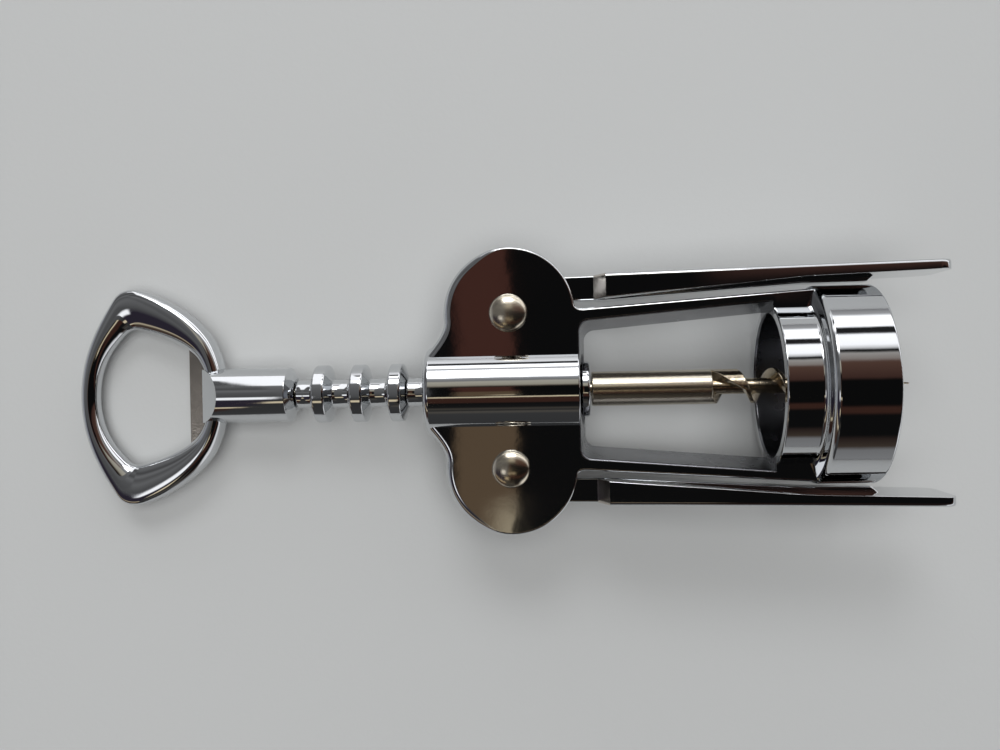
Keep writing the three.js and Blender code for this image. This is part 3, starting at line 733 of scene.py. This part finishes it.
def tongue_body(s):
    """The tongue: a ramp out of the hub, the long bar, and the tip with its round corners."""
    root, full = s.tongue_root - s.tongue_ramp, s.lever_width / 2
    hair = 0.02                          # keeps the ramp's first section off the hub's faces
    places = [(root, s.half_hub + hair, s.root_thickness, 0)]
    for x in np.linspace(root, s.tongue_root, 6)[1:]:
        share = (x - root) / s.tongue_ramp
        places.append((x, s.half_hub + (full - s.half_hub) * share, s.root_thickness, 0))
    r, tip, end = s.tip_round, s.tip_thickness, s.lever_reach
    spots = (s.tongue_root, s.collar_end, end)
    for x in np.linspace(s.tongue_root, end - r, 30)[1:]:
        thick = np.interp(x, spots, (s.root_thickness, s.mid_thickness, tip))
        places.append((x, full, thick, 0))
    for a in np.linspace(0, math.radians(80), 9)[1:]:
        places.append((end - r + r * math.sin(a), full - r * (1 - math.cos(a)), tip, 0))
    for degrees, back, shrink in ((86, 0.1, 0.1), (88, 0, 0.32)):
        half_width = full - r + r * math.cos(math.radians(degrees))
        places.append((end - back, half_width, tip, shrink))
    body = loft("tongue", [tongue_section(s, *place) for place in places])
    for face in body.data.polygons:
        if face.center.x < s.tongue_root - 0.1 and abs(face.center.z) > s.half_hub:
            face.material_index = CAST
    return body


def rib_body(s):
    """The rib inside the tongue, with a sloped end."""
    end_slope, rib_round = 1.5, 0.25
    inner = s.rib_inner - s.pivot_offset
    start, end = s.tongue_root - OVER, s.lever_reach - s.rib_end
    points = [
        (start, s.neck_inset), (s.collar_end, inner), (end, inner),
        (end + end_slope, lever_outer_edge(s, end) - s.tip_thickness),
        (end, lever_outer_edge(s, end) - BURY),
        (start, lever_outer_edge(s, s.tongue_root) - BURY)]
    return plate("rib", points, -s.rib_width / 2, s.rib_width / 2, rib_round)


def lever_body(s):
    body = hub_body(s)
    combine(body, "UNION", rib_body(s))
    combine(body, "UNION", tongue_body(s))
    return combine(body, "DIFFERENCE", rivet_hole_cutter(s, s.half_head, 0, POLISHED))


# ---- Rivets --------------------------------------------------------------------------------


def rivet_body(s):
    """A rivet along X: the peened tail, the body and the domed head."""
    face = s.half_head + s.rivet_seat
    rim, break_width, break_height = 0.3, 0.12, 0.1
    tail_flat, tail_side = s.rivet_tail * 0.72, 0.35
    tail_end = -face - s.rivet_peen
    profile = [(tail_end, 0)]
    profile += rounded([
        (tail_end, 0.01), (tail_end, tail_flat, 0.4),
        (-face - tail_side, s.rivet_tail, 0.25), (-face, s.rivet_tail), (-face, s.rivet_radius)])[1:]
    profile += [(face, s.rivet_radius), (face, s.rivet_head - break_width),
                (face + break_height, s.rivet_head)]
    for a in np.linspace(0, math.pi / 2, 17)[:-1]:
        profile.append((face + rim + (s.rivet_dome - rim) * math.sin(a), s.rivet_head * math.cos(a)))
    profile.append((face + s.rivet_dome, 0))
    return revolve("rivet", profile, sides=64)


# ---- Rack ----------------------------------------------------------------------------------


def tube(name, profile, sides=96):
    """An open turned skin about X, whose ends meet the next skin's."""
    turns = np.linspace(0, 2 * math.pi, sides, endpoint=False)
    verts = [(x, r * math.cos(a), r * math.sin(a)) for x, r in profile for a in turns]
    faces = []
    for k in range(len(profile) - 1):
        for i in range(sides):
            j = (i + 1) % sides
            faces.append((k * sides + i, (k + 1) * sides + i, (k + 1) * sides + j, k * sides + j))
    mesh = bpy.data.meshes.new(name)
    mesh.from_pydata(verts, [], faces)
    mesh.materials.append(look("chrome"))
    skin = bpy.data.objects.new(name, mesh)
    bpy.context.scene.collection.objects.link(skin)
    return skin


def ring_tree():
    """Repeats one ring's skin along X, closes it with the rack's ends and welds the seams."""
    tree = bpy.data.node_groups.new("Rack rings", "GeometryNodeTree")
    sockets = {}
    for name, kind in (("Ring", "NodeSocketGeometry"), ("Ring Count", "NodeSocketInt"),
                       ("Ring Pitch", "NodeSocketFloat"), ("First Ring", "NodeSocketFloat"),
                       ("Ends", "NodeSocketObject"), ("Finish", "NodeSocketMaterial")):
        sockets[name] = tree.interface.new_socket(name, in_out="INPUT", socket_type=kind).identifier
    tree.interface.new_socket("Rack", in_out="OUTPUT", socket_type="NodeSocketGeometry")
    given = add(tree, "NodeGroupInput").outputs
    start = add(tree, "ShaderNodeCombineXYZ", {"X": given["First Ring"]})
    step = add(tree, "ShaderNodeCombineXYZ", {"X": given["Ring Pitch"]})
    line = add(tree, "GeometryNodeMeshLine", {
        "Count": given["Ring Count"], "Start Location": start.outputs[0], "Offset": step.outputs[0]},
        mode="OFFSET")
    rings = add(tree, "GeometryNodeInstanceOnPoints", {
        "Points": line.outputs[0], "Instance": given["Ring"]})
    ends = add(tree, "GeometryNodeObjectInfo", {"Object": given["Ends"]})
    both = add(tree, "GeometryNodeJoinGeometry")
    tree.links.new(rings.outputs[0], both.inputs[0])
    tree.links.new(ends.outputs["Geometry"], both.inputs[0])
    real = add(tree, "GeometryNodeRealizeInstances", {"Geometry": both.outputs[0]})
    weld = add(tree, "GeometryNodeMergeByDistance", {"Geometry": real.outputs[0], "Distance": 0.001})
    finish = add(tree, "GeometryNodeSetMaterial", {
        "Geometry": weld.outputs[0], "Material": given["Finish"]})
    add(tree, "NodeGroupOutput", {0: finish.outputs[0]})
    return tree, sockets


def rack_body(s):
    half, land = s.ring_pitch / 2, s.ring_land / 2
    base = land + s.ring_slope
    foot_round, flange_round, rim_round, end_round = 0.25, 0.2, 0.4, 0.2
    ring = tube("rack ring", rounded([
        (-half, s.ring_root), (-base, s.ring_root, foot_round),
        (-land, s.ring_radius, s.ring_round), (land, s.ring_radius, s.ring_round),
        (base, s.ring_root, foot_round), (half, s.ring_root)]))
    total = s.rings_above + s.rings_below + 1
    first = -s.rings_above * s.ring_pitch
    low = first + (total - 0.5) * s.ring_pitch
    flange_end = s.flange_start + s.flange_width
    ends = tube("rack ends", rounded([
        (low, s.ring_root), (s.flange_start - s.ring_slope, s.ring_root, foot_round),
        (s.flange_start, s.flange_radius, flange_round), (flange_end, s.flange_radius, rim_round),
        (flange_end, s.rack_bore), (s.rack_start, s.rack_bore),
        (s.rack_start, s.ring_root, end_round), (first - half, s.ring_root)]))
    tree, sockets = ring_tree()
    repeat = ring.modifiers.new("Rings", "NODES")
    repeat.node_group = tree
    repeat[sockets["Ring Count"]] = total
    repeat[sockets["Ring Pitch"]] = s.ring_pitch
    repeat[sockets["First Ring"]] = first
    repeat[sockets["Ends"]] = ends
    repeat[sockets["Finish"]] = look("chrome")
    graph = bpy.context.evaluated_depsgraph_get()
    mesh = bpy.data.meshes.new_from_object(ring.evaluated_get(graph))
    ring.modifiers.clear()
    ring.data = mesh
    bpy.data.objects.remove(ends)
    work = bmesh.new()
    work.from_mesh(mesh)
    if any(not edge.is_manifold for edge in work.edges):
        raise RuntimeError("the rack's rings and ends do not meet")
    bmesh.ops.recalc_face_normals(work, faces=work.faces)
    work.to_mesh(mesh)
    work.free()
    return ring


# ---- Handle --------------------------------------------------------------------------------


def ring_curves(s):
    """The ring's outer edge and its hole, each as a closed outline."""
    def places(far, half_width):
        back = s.corner - far
        return lambda u, v: (s.corner + u * (back if u < 0 else s.ring_corner), v * half_width)

    def both_sides(points):
        return np.array(points + [(x, -y) for x, y in reversed(points[1:-1])])

    at = places(s.ring_far, s.ring_half_width)
    joint = (-s.neck_top + s.neck_slope * 0.9, s.neck_top_radius * 0.95)
    outer = [at(-1, 0)]
    outer += bezier([at(-1, 0), at(-1, 0.36), at(-0.744, 0.63), at(-0.316, 0.924)], 24)
    outer += bezier([outer[-1], at(-0.13, 1.048), at(0.157, 0.986)], 12)
    outer += bezier([outer[-1], at(0.438, 0.919), at(0.82, 0.771), at(1.035, 0.54)], 20)
    outer += bezier([outer[-1], at(1.13, 0.43), joint], 8)
    outer += [(joint[0] + 0.6, joint[1] - 1.2), (joint[0] + 0.8, joint[1] * 0.4), (joint[0] + 0.8, 0)]
    at = places(s.ring_far + s.bar_end, s.ring_half_width - s.bar_side)
    hole = [at(-1, 0)]
    hole += bezier([at(-1, 0), at(-1, 0.34), at(-0.795, 0.617), at(-0.33, 0.88)], 24)
    hole += bezier([hole[-1], at(-0.096, 1.045), at(0.131, 0.985)], 12)
    hole += bezier([hole[-1], at(0.34, 0.917), at(0.647, 0.797), at(0.817, 0.6)], 16)
    hole += bezier([hole[-1], at(0.915, 0.474), at(0.987, 0.263), at(0.987, 0)], 12)
    return both_sides(outer), both_sides(hole)


def reach(outline, centre, turn):
    """Distance from a centre to an outline in one direction."""
    ahead = np.array([math.cos(turn), math.sin(turn)])
    start = outline - centre
    span = np.roll(start, -1, axis=0) - start
    cross = ahead[0] * span[:, 1] - ahead[1] * span[:, 0]
    cross[np.abs(cross) < 1e-12] = 1e-12
    far = (start[:, 0] * span[:, 1] - start[:, 1] * span[:, 0]) / cross
    share = (start[:, 0] * ahead[1] - start[:, 1] * ahead[0]) / cross
    return far[(share >= -1e-9) & (share < 1 + 1e-9) & (far > 0)].max()


def ring_body(s):
    """The ring: a bar that is round and slim at the far end, and broad, with its crest near the
    outer edge and a long slope to the hole, at the shoulders."""
    outer, hole = ring_curves(s)
    centre = np.array([s.corner + 1.0, 0.0])
    sections = []
    around = np.linspace(0, 2 * math.pi, 56, endpoint=False)
    for turn in np.linspace(0, 2 * math.pi, 240, endpoint=False):
        far, near = reach(outer, centre, turn), reach(hole, centre, turn)
        ahead = np.array([math.cos(turn), math.sin(turn)])
        broad = np.clip(((far - near) - s.bar_end) / (s.bar_side - s.bar_end), 0, 1)
        middle, half = (far + near) / 2, (far - near) / 2
        x_middle = centre[0] + ahead[0] * middle
        share = np.clip((x_middle - s.ring_far) / s.ring_length, 0, 1)
        depth = s.ring_far_depth / 2 + (s.ring_root_depth - s.ring_far_depth) / 2 * share
        skew = 0.40 * broad
        power = 2 / (2.05 + 0.35 * broad)
        section = []
        for a in around:
            c, z = math.cos(a), math.sin(a)
            c = math.copysign(abs(c) ** power, c)
            z = math.copysign(abs(z) ** power, z)
            out = middle + half * (c + skew * (1 - c * c))
            place = centre + ahead * out
            section.append((place[0], place[1], z * depth))
        sections.append(section)
    return loft("ring", sections, closed=True)


def sloped_flat_cutter(s, side):
    """Cuts the flat that leads from the ring's face up to the neck."""
    far, clear, half_width, hair = 5, 9, 12, 0.02
    flat = s.ring_root_depth / 2 - 0.25
    lean = (s.neck_top_radius - flat) / s.neck_slope
    start, end = -s.neck_top - far, -s.neck_top + s.neck_slope + OVER
    outline = [(start, flat - lean * far + hair), (end, s.neck_top_radius + lean),
               (end, clear), (start, clear)]
    return loft("sloped flat", [
        [(x, y, side * z) for x, z in outline] for y in (-half_width, half_width)])


def neck_body(s):
    """The neck, with a cone at its lower end and a sloped flat on both faces."""
    start, base = -s.neck_top - 1.2, -s.neck_base
    cone_end = s.ring_root + 0.35
    neck = revolve("neck", rounded([
        (start, 0), (start, s.neck_top_radius, 0.3),
        (base - s.neck_chamfer, s.neck_base_radius, 0.16), (base, cone_end, 0.1), (base, 0)]))
    for side in (1, -1):
        combine(neck, "DIFFERENCE", sloped_flat_cutter(s, side))
    return neck


def web_body(s):
    """The cap lifter's web across the ring's hole."""
    top, face, web_round = -s.neck_top, -s.web_drop, 0.22
    edge, back = top - s.web_reach, 0.5
    half = (s.ring_half_width - s.bar_side) * 0.72
    outline = [(edge, -half), (top - back, -half * 0.8), (top + back, 0), (top - back, half * 0.8),
               (edge, half)]
    return plate("web", outline, face - s.web_thickness, face, web_round, CAST)


def handle_body(s):
    body = ring_body(s)
    combine(body, "UNION", web_body(s))
    combine(body, "UNION", neck_body(s))
    start, end = -s.rod_end - 0.3, -s.neck_base + OVER
    socket = revolve("socket", [
        (start, 0), (start, s.rack_bore), (end, s.rack_bore), (end, 0)], sides=48, slot=CAST)
    return combine(body, "DIFFERENCE", socket)


# ---- Worm ----------------------------------------------------------------------------------


def thread_body(s):
    """The helical thread. Its first turn is solid, and its last one shrinks to the point."""
    start = s.shank_end - s.thread_lead
    per_turn, point_gap, fade, crest_round = 64, 0.35, 0.25 * s.worm_pitch, 0.22
    crest, root, core = s.thread_crest / 2, s.thread_root / 2, 0.5 * s.rod_radius
    steps = int((s.worm_tip - point_gap - start) / s.worm_pitch * per_turn)
    sections = []
    for i in range(steps + 1):
        x = start + i / per_turn * s.worm_pitch
        turn = i / per_turn * 2 * math.pi
        size = np.clip((s.worm_tip - x) / s.worm_taper, 0.1, 1)
        past = x - s.shank_end
        broad = max(0, past) * (1 - np.clip((past - s.thread_solid) / fade, 0, 1))
        outline = rounded([
            (-root - broad, core), (-crest - broad, s.shank_radius, crest_round),
            (crest, s.shank_radius, crest_round), (root, core)], 4)
        sections.append([
            (x + dx * size, r * size * math.cos(turn), r * size * math.sin(turn)) for dx, r in outline])
    return loft("thread", sections)


def worm_body(s):
    """Rod, shank and core, turned in one, with the thread round the core."""
    rod_round, shank_round, shank_end_round = 0.3, 0.3, 0.2
    body = revolve("worm", rounded([
        (-s.rod_end, 0), (-s.rod_end, s.rod_radius, rod_round), (s.shank_start, s.rod_radius),
        (s.shank_start, s.shank_radius, shank_round), (s.shank_end, s.shank_radius, shank_end_round),
        (s.shank_end, s.rod_radius), (s.worm_tip - s.worm_taper, s.rod_radius), (s.worm_tip, 0)]),
        sides=96)
    return combine(body, "UNION", thread_body(s))


# ---- Operators -----------------------------------------------------------------------------


class CORKSCREW_OT_finishes(bpy.types.Operator):
    """Make the plated metals"""
    bl_idname = "corkscrew.finishes"
    bl_label = "Finishes"

    def execute(self, context):
        make_looks(sizes(context))
        return {"FINISHED"}


class CORKSCREW_OT_frame(bpy.types.Operator):
    """Build the frame: barrel, lobes, legs and bell in one casting"""
    bl_idname = "corkscrew.frame"
    bl_label = "Frame"

    def execute(self, context):
        body = frame_body(sizes(context))
        finish_piece(body, "frame_casting", "frame", "frame")
        return {"FINISHED"}


class CORKSCREW_OT_rack(bpy.types.Operator):
    """Build the rack with its rings"""
    bl_idname = "corkscrew.rack"
    bl_label = "Rack"

    def execute(self, context):
        body = rack_body(sizes(context))
        finish_piece(body, "rack_sleeve", "rack", "rack")
        return {"FINISHED"}


class CORKSCREW_OT_levers(bpy.types.Operator):
    """Build the two levers"""
    bl_idname = "corkscrew.levers"
    bl_label = "Levers"

    def execute(self, context):
        s = sizes(context)
        for side, turn in (("right", 0), ("left", math.pi)):
            body = lever_body(s)
            place = Matrix.Translation((0, s.pivot_offset, 0))
            body.data.transform(Matrix.Rotation(turn, 4, "X") @ place)
            node = f"{side}_lever"
            finish_piece(body, f"{side}_lever_casting", node, node)
        return {"FINISHED"}


class CORKSCREW_OT_rivets(bpy.types.Operator):
    """Build the two pivot rivets"""
    bl_idname = "corkscrew.rivets"
    bl_label = "Rivets"

    def execute(self, context):
        s = sizes(context)
        for side, across in (("right", s.pivot_offset), ("left", -s.pivot_offset)):
            body = rivet_body(s)
            body.data.materials.clear()
            body.data.materials.append(look("nickel"))
            body.data.transform(upright(across))
            finish_piece(body, f"{side}_rivet_pin", "frame", f"{side}_rivet")
        return {"FINISHED"}


class CORKSCREW_OT_handle(bpy.types.Operator):
    """Build the handle: neck, ring and cap lifter in one casting"""
    bl_idname = "corkscrew.handle"
    bl_label = "Handle"

    def execute(self, context):
        body = handle_body(sizes(context))
        finish_piece(body, "handle_casting", "handle", "handle")
        return {"FINISHED"}


class CORKSCREW_OT_worm(bpy.types.Operator):
    """Build the worm with its rod and shank"""
    bl_idname = "corkscrew.worm"
    bl_label = "Worm"

    def execute(self, context):
        s = sizes(context)
        body = worm_body(s)
        mesh = body.data
        mesh.materials.clear()
        mesh.materials.append(look("nickel"))
        mesh.materials.append(look("auger_nickel"))
        for face in mesh.polygons:
            face.material_index = int(face.center.x > s.shank_end + 0.05)
        finish_piece(body, "worm_auger", "handle", "worm")
        return {"FINISHED"}


CAMERA_LENS = 32.4                       # mm, on a 36 mm sensor
CAMERA_PLACE = (11.3, 2.97, 170.97)      # bench, mm
CAMERA_LEAN = math.radians(4.5)          # about the bench's Y
CAMERA_ROLL = math.radians(1.17)

# The room that the chrome mirrors, in five strips along X. Each strip lists tones, as brightness
# or as red, green and blue, by the angle in degrees from straight up toward +Y.
PLUM, DARK_BROWN, CREAM = (0.03, 0.025, 0.038), (0.05, 0.022, 0.016), (0.85, 0.72, 0.5)
ROOM = {
    "ring": [
        (-180, 0.22), (-100, 0.24), (-86, 0.18), (-80, DARK_BROWN), (-60, (0.10, 0.08, 0.06)),
        (-55, (0.5, 0.42, 0.3)), (-50, (0.5, 0.42, 0.3)), (-46, PLUM), (-14, PLUM), (-5, 0.10),
        (8, 0.17), (18, 0.11), (28, 0.19), (40, 0.08), (56, 0.15), (90, 0.2), (180, 0.22)],
    "handle": [
        (-180, 0.25), (-80, 0.27), (-76, DARK_BROWN), (-57, DARK_BROWN), (-54, CREAM), (-51, CREAM),
        (-49, PLUM), (-20, PLUM), (-16, 1.4), (-10, 1.4), (-6, 0.09), (10, 0.12), (20, 0.19),
        (28, 0.09), (40, 0.16), (52, 0.1), (68, 0.12), (71, 1.4), (76, 1.4), (80, 0.22), (120, 0.27),
        (180, 0.22)],
    "rack": [
        (-180, 0.3), (-92, 0.3), (-86, 0.05), (-37, 0.04), (-34, CREAM), (-29, CREAM), (-26, 0.03),
        (-12, 0.1), (20, 0.15), (40, 0.2), (45, 1.5), (92, 1.5), (100, 0.4), (180, 0.33)],
    "barrel": [
        (-180, 0.25), (-105, 0.2), (-90, 0.045), (-60, 0.05), (-54, (0.10, 0.09, 0.078)), (-50, 0.025),
        (-46, (0.07, 0.062, 0.052)), (-41, 0.012), (-31, 0.008), (-28, DARK_BROWN), (-17, DARK_BROWN),
        (-15.4, CREAM), (-14.2, CREAM), (-13, 0.006), (11, 0.005), (13, (0.12, 0.1, 0.08)),
        (16, (0.4, 0.37, 0.3)), (25, (0.5, 0.47, 0.4)), (28, 0.22), (34, 0.4), (37, 2.3), (56, 2.3),
        (58, 0.5), (61, 0.5), (63, 2.3), (70, 2.3), (72, 0.02), (77, 0.02), (79, 1.2), (90, 0.8),
        (94, 0.4), (180, 0.3)],
    "bell": [
        (-180, 0.2), (-90, 0.26), (-77, 0.22), (-72, (0.06, 0.045, 0.035)), (-62, (0.03, 0.02, 0.017)),
        (-57, 0.006), (-33, 0.006), (-30, DARK_BROWN), (-25, DARK_BROWN), (-22, 0.005), (5, 0.005),
        (8, (0.06, 0.03, 0.024)), (25, (0.11, 0.06, 0.045)), (28, (0.3, 0.26, 0.24)),
        (34, (0.42, 0.4, 0.38)), (36, 0.02), (38, 0.02), (40, 0.8), (44, 1.5), (56, 1.6), (58, 0.02),
        (65, 0.02), (67, 2.0), (80, 2.0), (84, 0.5), (92, 0.26), (180, 0.22)],
}
# Where each strip gives way to the next, along the X of the direction: (from, to).
ROOM_EDGES = [(-0.58, -0.54), (-0.405, -0.385), (-0.272, -0.262), (0.02, 0.08)]
# A wooden shelf overhead, seen beside the dark: its X from and to, and its two tones by Y.
SHELF_EDGES = (-0.228, -0.171)
SHELF_TONES = ((0.125, 0.085, 0.052, 1), (0.07, 0.028, 0.021, 1))
SHELF_LIGHT = (0.42, 0.35, 0.24, 1)


def room_strip(tree, turn, tones):
    """A ramp of tones over the angle from straight up."""
    ramp = add(tree, "ShaderNodeValToRGB", {0: turn})
    stops = ramp.color_ramp.elements
    stops.remove(stops[1])
    for i, (degrees, tone) in enumerate(tones):
        stop = stops[0] if i == 0 else stops.new((degrees + 180) / 360)
        stop.position = (degrees + 180) / 360
        stop.color = (*tone, 1) if isinstance(tone, tuple) else (tone, tone, tone * 1.02, 1)
    return ramp.outputs[0]


def blend(tree, factor, first, second):
    mix = add(tree, "ShaderNodeMix", {"Factor": factor, "A": first, "B": second}, data_type="RGBA")
    return mix.outputs[2]


def ease(tree, value, start, end):
    return add(tree, "ShaderNodeMapRange", {
        "Value": value, "From Min": start, "From Max": end}, interpolation_type="SMOOTHSTEP").outputs[0]


def calculate(tree, operation, first, second):
    return add(tree, "ShaderNodeMath", {0: first, 1: second}, operation=operation).outputs[0]


def make_room():
    """The world: the strips side by side, a shelf overhead, and pale walls at both ends."""
    world = bpy.data.worlds.new("room")
    bpy.context.scene.world = world
    world.use_nodes = True
    tree = world.node_tree
    tree.nodes.clear()
    ahead = add(tree, "ShaderNodeTexCoord").outputs["Generated"]
    parts = add(tree, "ShaderNodeSeparateXYZ", {0: ahead})
    x, y, z = parts.outputs
    # Nothing in the room is ruler-straight, so the edges of its tones waver a little.
    waver = add(tree, "ShaderNodeTexNoise", {"Vector": ahead, "Scale": 7.0, "Detail": 2.0}).outputs[0]
    waver = calculate(tree, "MULTIPLY", calculate(tree, "SUBTRACT", waver, 0.5), 0.028)
    turn = calculate(tree, "ADD", calculate(tree, "ARCTAN2", y, z), waver)
    share = add(tree, "ShaderNodeMapRange", {"Value": turn, "From Min": -math.pi, "From Max": math.pi})
    strips = [room_strip(tree, share.outputs[0], tones) for tones in ROOM.values()]
    room = strips[0]
    for strip, (start, end) in zip(strips[1:], ROOM_EDGES):
        room = blend(tree, ease(tree, x, start, end), room, strip)
    side = calculate(tree, "ADD", x, waver)
    shelf = blend(tree, ease(tree, y, -0.05, 0.02), *SHELF_TONES)
    left, right = SHELF_EDGES
    where = calculate(tree, "MULTIPLY", ease(tree, side, left - 0.012, left + 0.004),
                      ease(tree, side, right + 0.004, right - 0.002))
    lit = calculate(tree, "MULTIPLY", ease(tree, side, left + 0.02, right),
                    ease(tree, turn, -0.13, -0.165))
    shelf = blend(tree, lit, shelf, SHELF_LIGHT)
    where = calculate(tree, "MULTIPLY", where, ease(tree, turn, -0.21, -0.2))
    where = calculate(tree, "MULTIPLY", where, ease(tree, turn, 0.2, 0.18))
    room = blend(tree, where, room, shelf)
    # Pale walls past the bell and past the handle light the table softly from both ends.
    beyond = calculate(tree, "MULTIPLY", ease(tree, x, 0.32, 0.5), ease(tree, turn, -0.8, -1.1))
    room = blend(tree, beyond, room, (0.9, 0.9, 0.92, 1))
    room = blend(tree, ease(tree, x, -0.88, -0.95), room, (0.3, 0.31, 0.34, 1))
    back = add(tree, "ShaderNodeBackground", {"Color": room, "Strength": 1.0})
    add(tree, "ShaderNodeOutputWorld", {"Surface": back.outputs[0]})


def make_table(code):
    reach_out = 1.5
    corners = [(-reach_out, -reach_out, 0), (reach_out, -reach_out, 0), (reach_out, reach_out, 0),
               (-reach_out, reach_out, 0)]
    mesh = bpy.data.meshes.new("table")
    mesh.from_pydata(corners, [], [(0, 1, 2, 3)])
    table = bpy.data.objects.new("table", mesh)
    bpy.context.scene.collection.objects.link(table)
    material = bpy.data.materials.new("matt table top")
    material.use_nodes = True
    tree = material.node_tree
    tree.nodes.clear()
    place = add(tree, "ShaderNodeTexCoord")
    fleck = add(tree, "ShaderNodeTexNoise", {
        "Vector": place.outputs["Object"], "Scale": 900.0, "Detail": 3.0})
    raised = add(tree, "ShaderNodeBump", {
        "Height": fleck.outputs[0], "Strength": 0.25, "Distance": 0.0001})
    shader = add(tree, "ShaderNodeBsdfPrincipled", {
        "Base Color": linear(code), "Roughness": 0.6, "Specular IOR Level": 0.25,
        "Normal": raised.outputs[0]})
    add(tree, "ShaderNodeOutputMaterial", {"Surface": shader.outputs[0]})
    mesh.materials.append(material)


def make_lamp(name, place, aim, size, power, mirrored=True):
    data = bpy.data.lights.new(name, "AREA")
    data.shape = "RECTANGLE"
    data.size, data.size_y = size
    data.energy = power
    lamp = bpy.data.objects.new(name, data)
    lamp.location = place
    lamp.visible_glossy = mirrored
    lamp.rotation_euler = (Vector(aim) - Vector(place)).to_track_quat("-Z", "Y").to_euler()
    bpy.context.scene.collection.objects.link(lamp)


def make_camera():
    data = bpy.data.cameras.new("camera")
    data.lens = CAMERA_LENS
    data.sensor_width = 36
    data.clip_start = 0.01
    lean, roll = CAMERA_LEAN, CAMERA_ROLL
    right = Vector((math.cos(roll) * math.cos(lean), -math.sin(roll), -math.cos(roll) * math.sin(lean)))
    up = Vector((math.sin(roll) * math.cos(lean), math.cos(roll), -math.sin(roll) * math.sin(lean)))
    back = right.cross(up)
    place = Matrix((right, up, back)).transposed().to_4x4()
    place.translation = Vector(CAMERA_PLACE) * MM
    camera = bpy.data.objects.new("camera", data)
    camera.matrix_world = BENCH @ place
    bpy.context.scene.collection.objects.link(camera)
    bpy.context.scene.camera = camera


class CORKSCREW_OT_stage(bpy.types.Operator):
    """Set up the table, the soft light and the camera"""
    bl_idname = "corkscrew.stage"
    bl_label = "Stage"

    def execute(self, context):
        make_room()
        make_table(sizes(context).table)
        make_lamp("soft window", (-0.1, 0.75, 0.72), (0, 0, 0), (0.5, 0.3), 2.2)
        make_lamp("soft ceiling", (0, 0, 1.0), (0, 0, 0), (0.75, 0.75), 8.0, mirrored=False)
        make_camera()
        context.scene.view_settings.view_transform = "Standard"
        return {"FINISHED"}


OPERATORS = (
    CORKSCREW_OT_finishes, CORKSCREW_OT_stage, CORKSCREW_OT_frame, CORKSCREW_OT_rack,
    CORKSCREW_OT_levers, CORKSCREW_OT_rivets, CORKSCREW_OT_handle, CORKSCREW_OT_worm,
)


class CORKSCREW_PT_sidebar(bpy.types.Panel):
    bl_idname = "CORKSCREW_PT_sidebar"
    bl_label = "Lever Corkscrew"
    bl_space_type = "VIEW_3D"
    bl_region_type = "UI"
    bl_category = "Corkscrew"

    def draw(self, context):
        for operator in OPERATORS:
            self.layout.operator(operator.bl_idname)
        for group, kind in GROUPS.items():
            box = self.layout.box()
            box.label(text=kind.__name__)
            holder = getattr(context.scene, group)
            for prop in holder.bl_rna.properties:
                if prop.identifier not in {"rna_type", "name"}:
                    box.prop(holder, prop.identifier)


CLASSES = (*GROUPS.values(), *OPERATORS, CORKSCREW_PT_sidebar)


def register():
    for item in CLASSES:
        bpy.utils.register_class(item)
    for group, kind in GROUPS.items():
        setattr(bpy.types.Scene, group, bpy.props.PointerProperty(type=kind))


def unregister():
    for group in GROUPS:
        delattr(bpy.types.Scene, group)
    for item in reversed(CLASSES):
        bpy.utils.unregister_class(item)


def main():
    register()
    for operator in OPERATORS:
        group, name = operator.bl_idname.split(".")
        getattr(getattr(bpy.ops, group), name)()


if __name__ == "__main__":
    main()
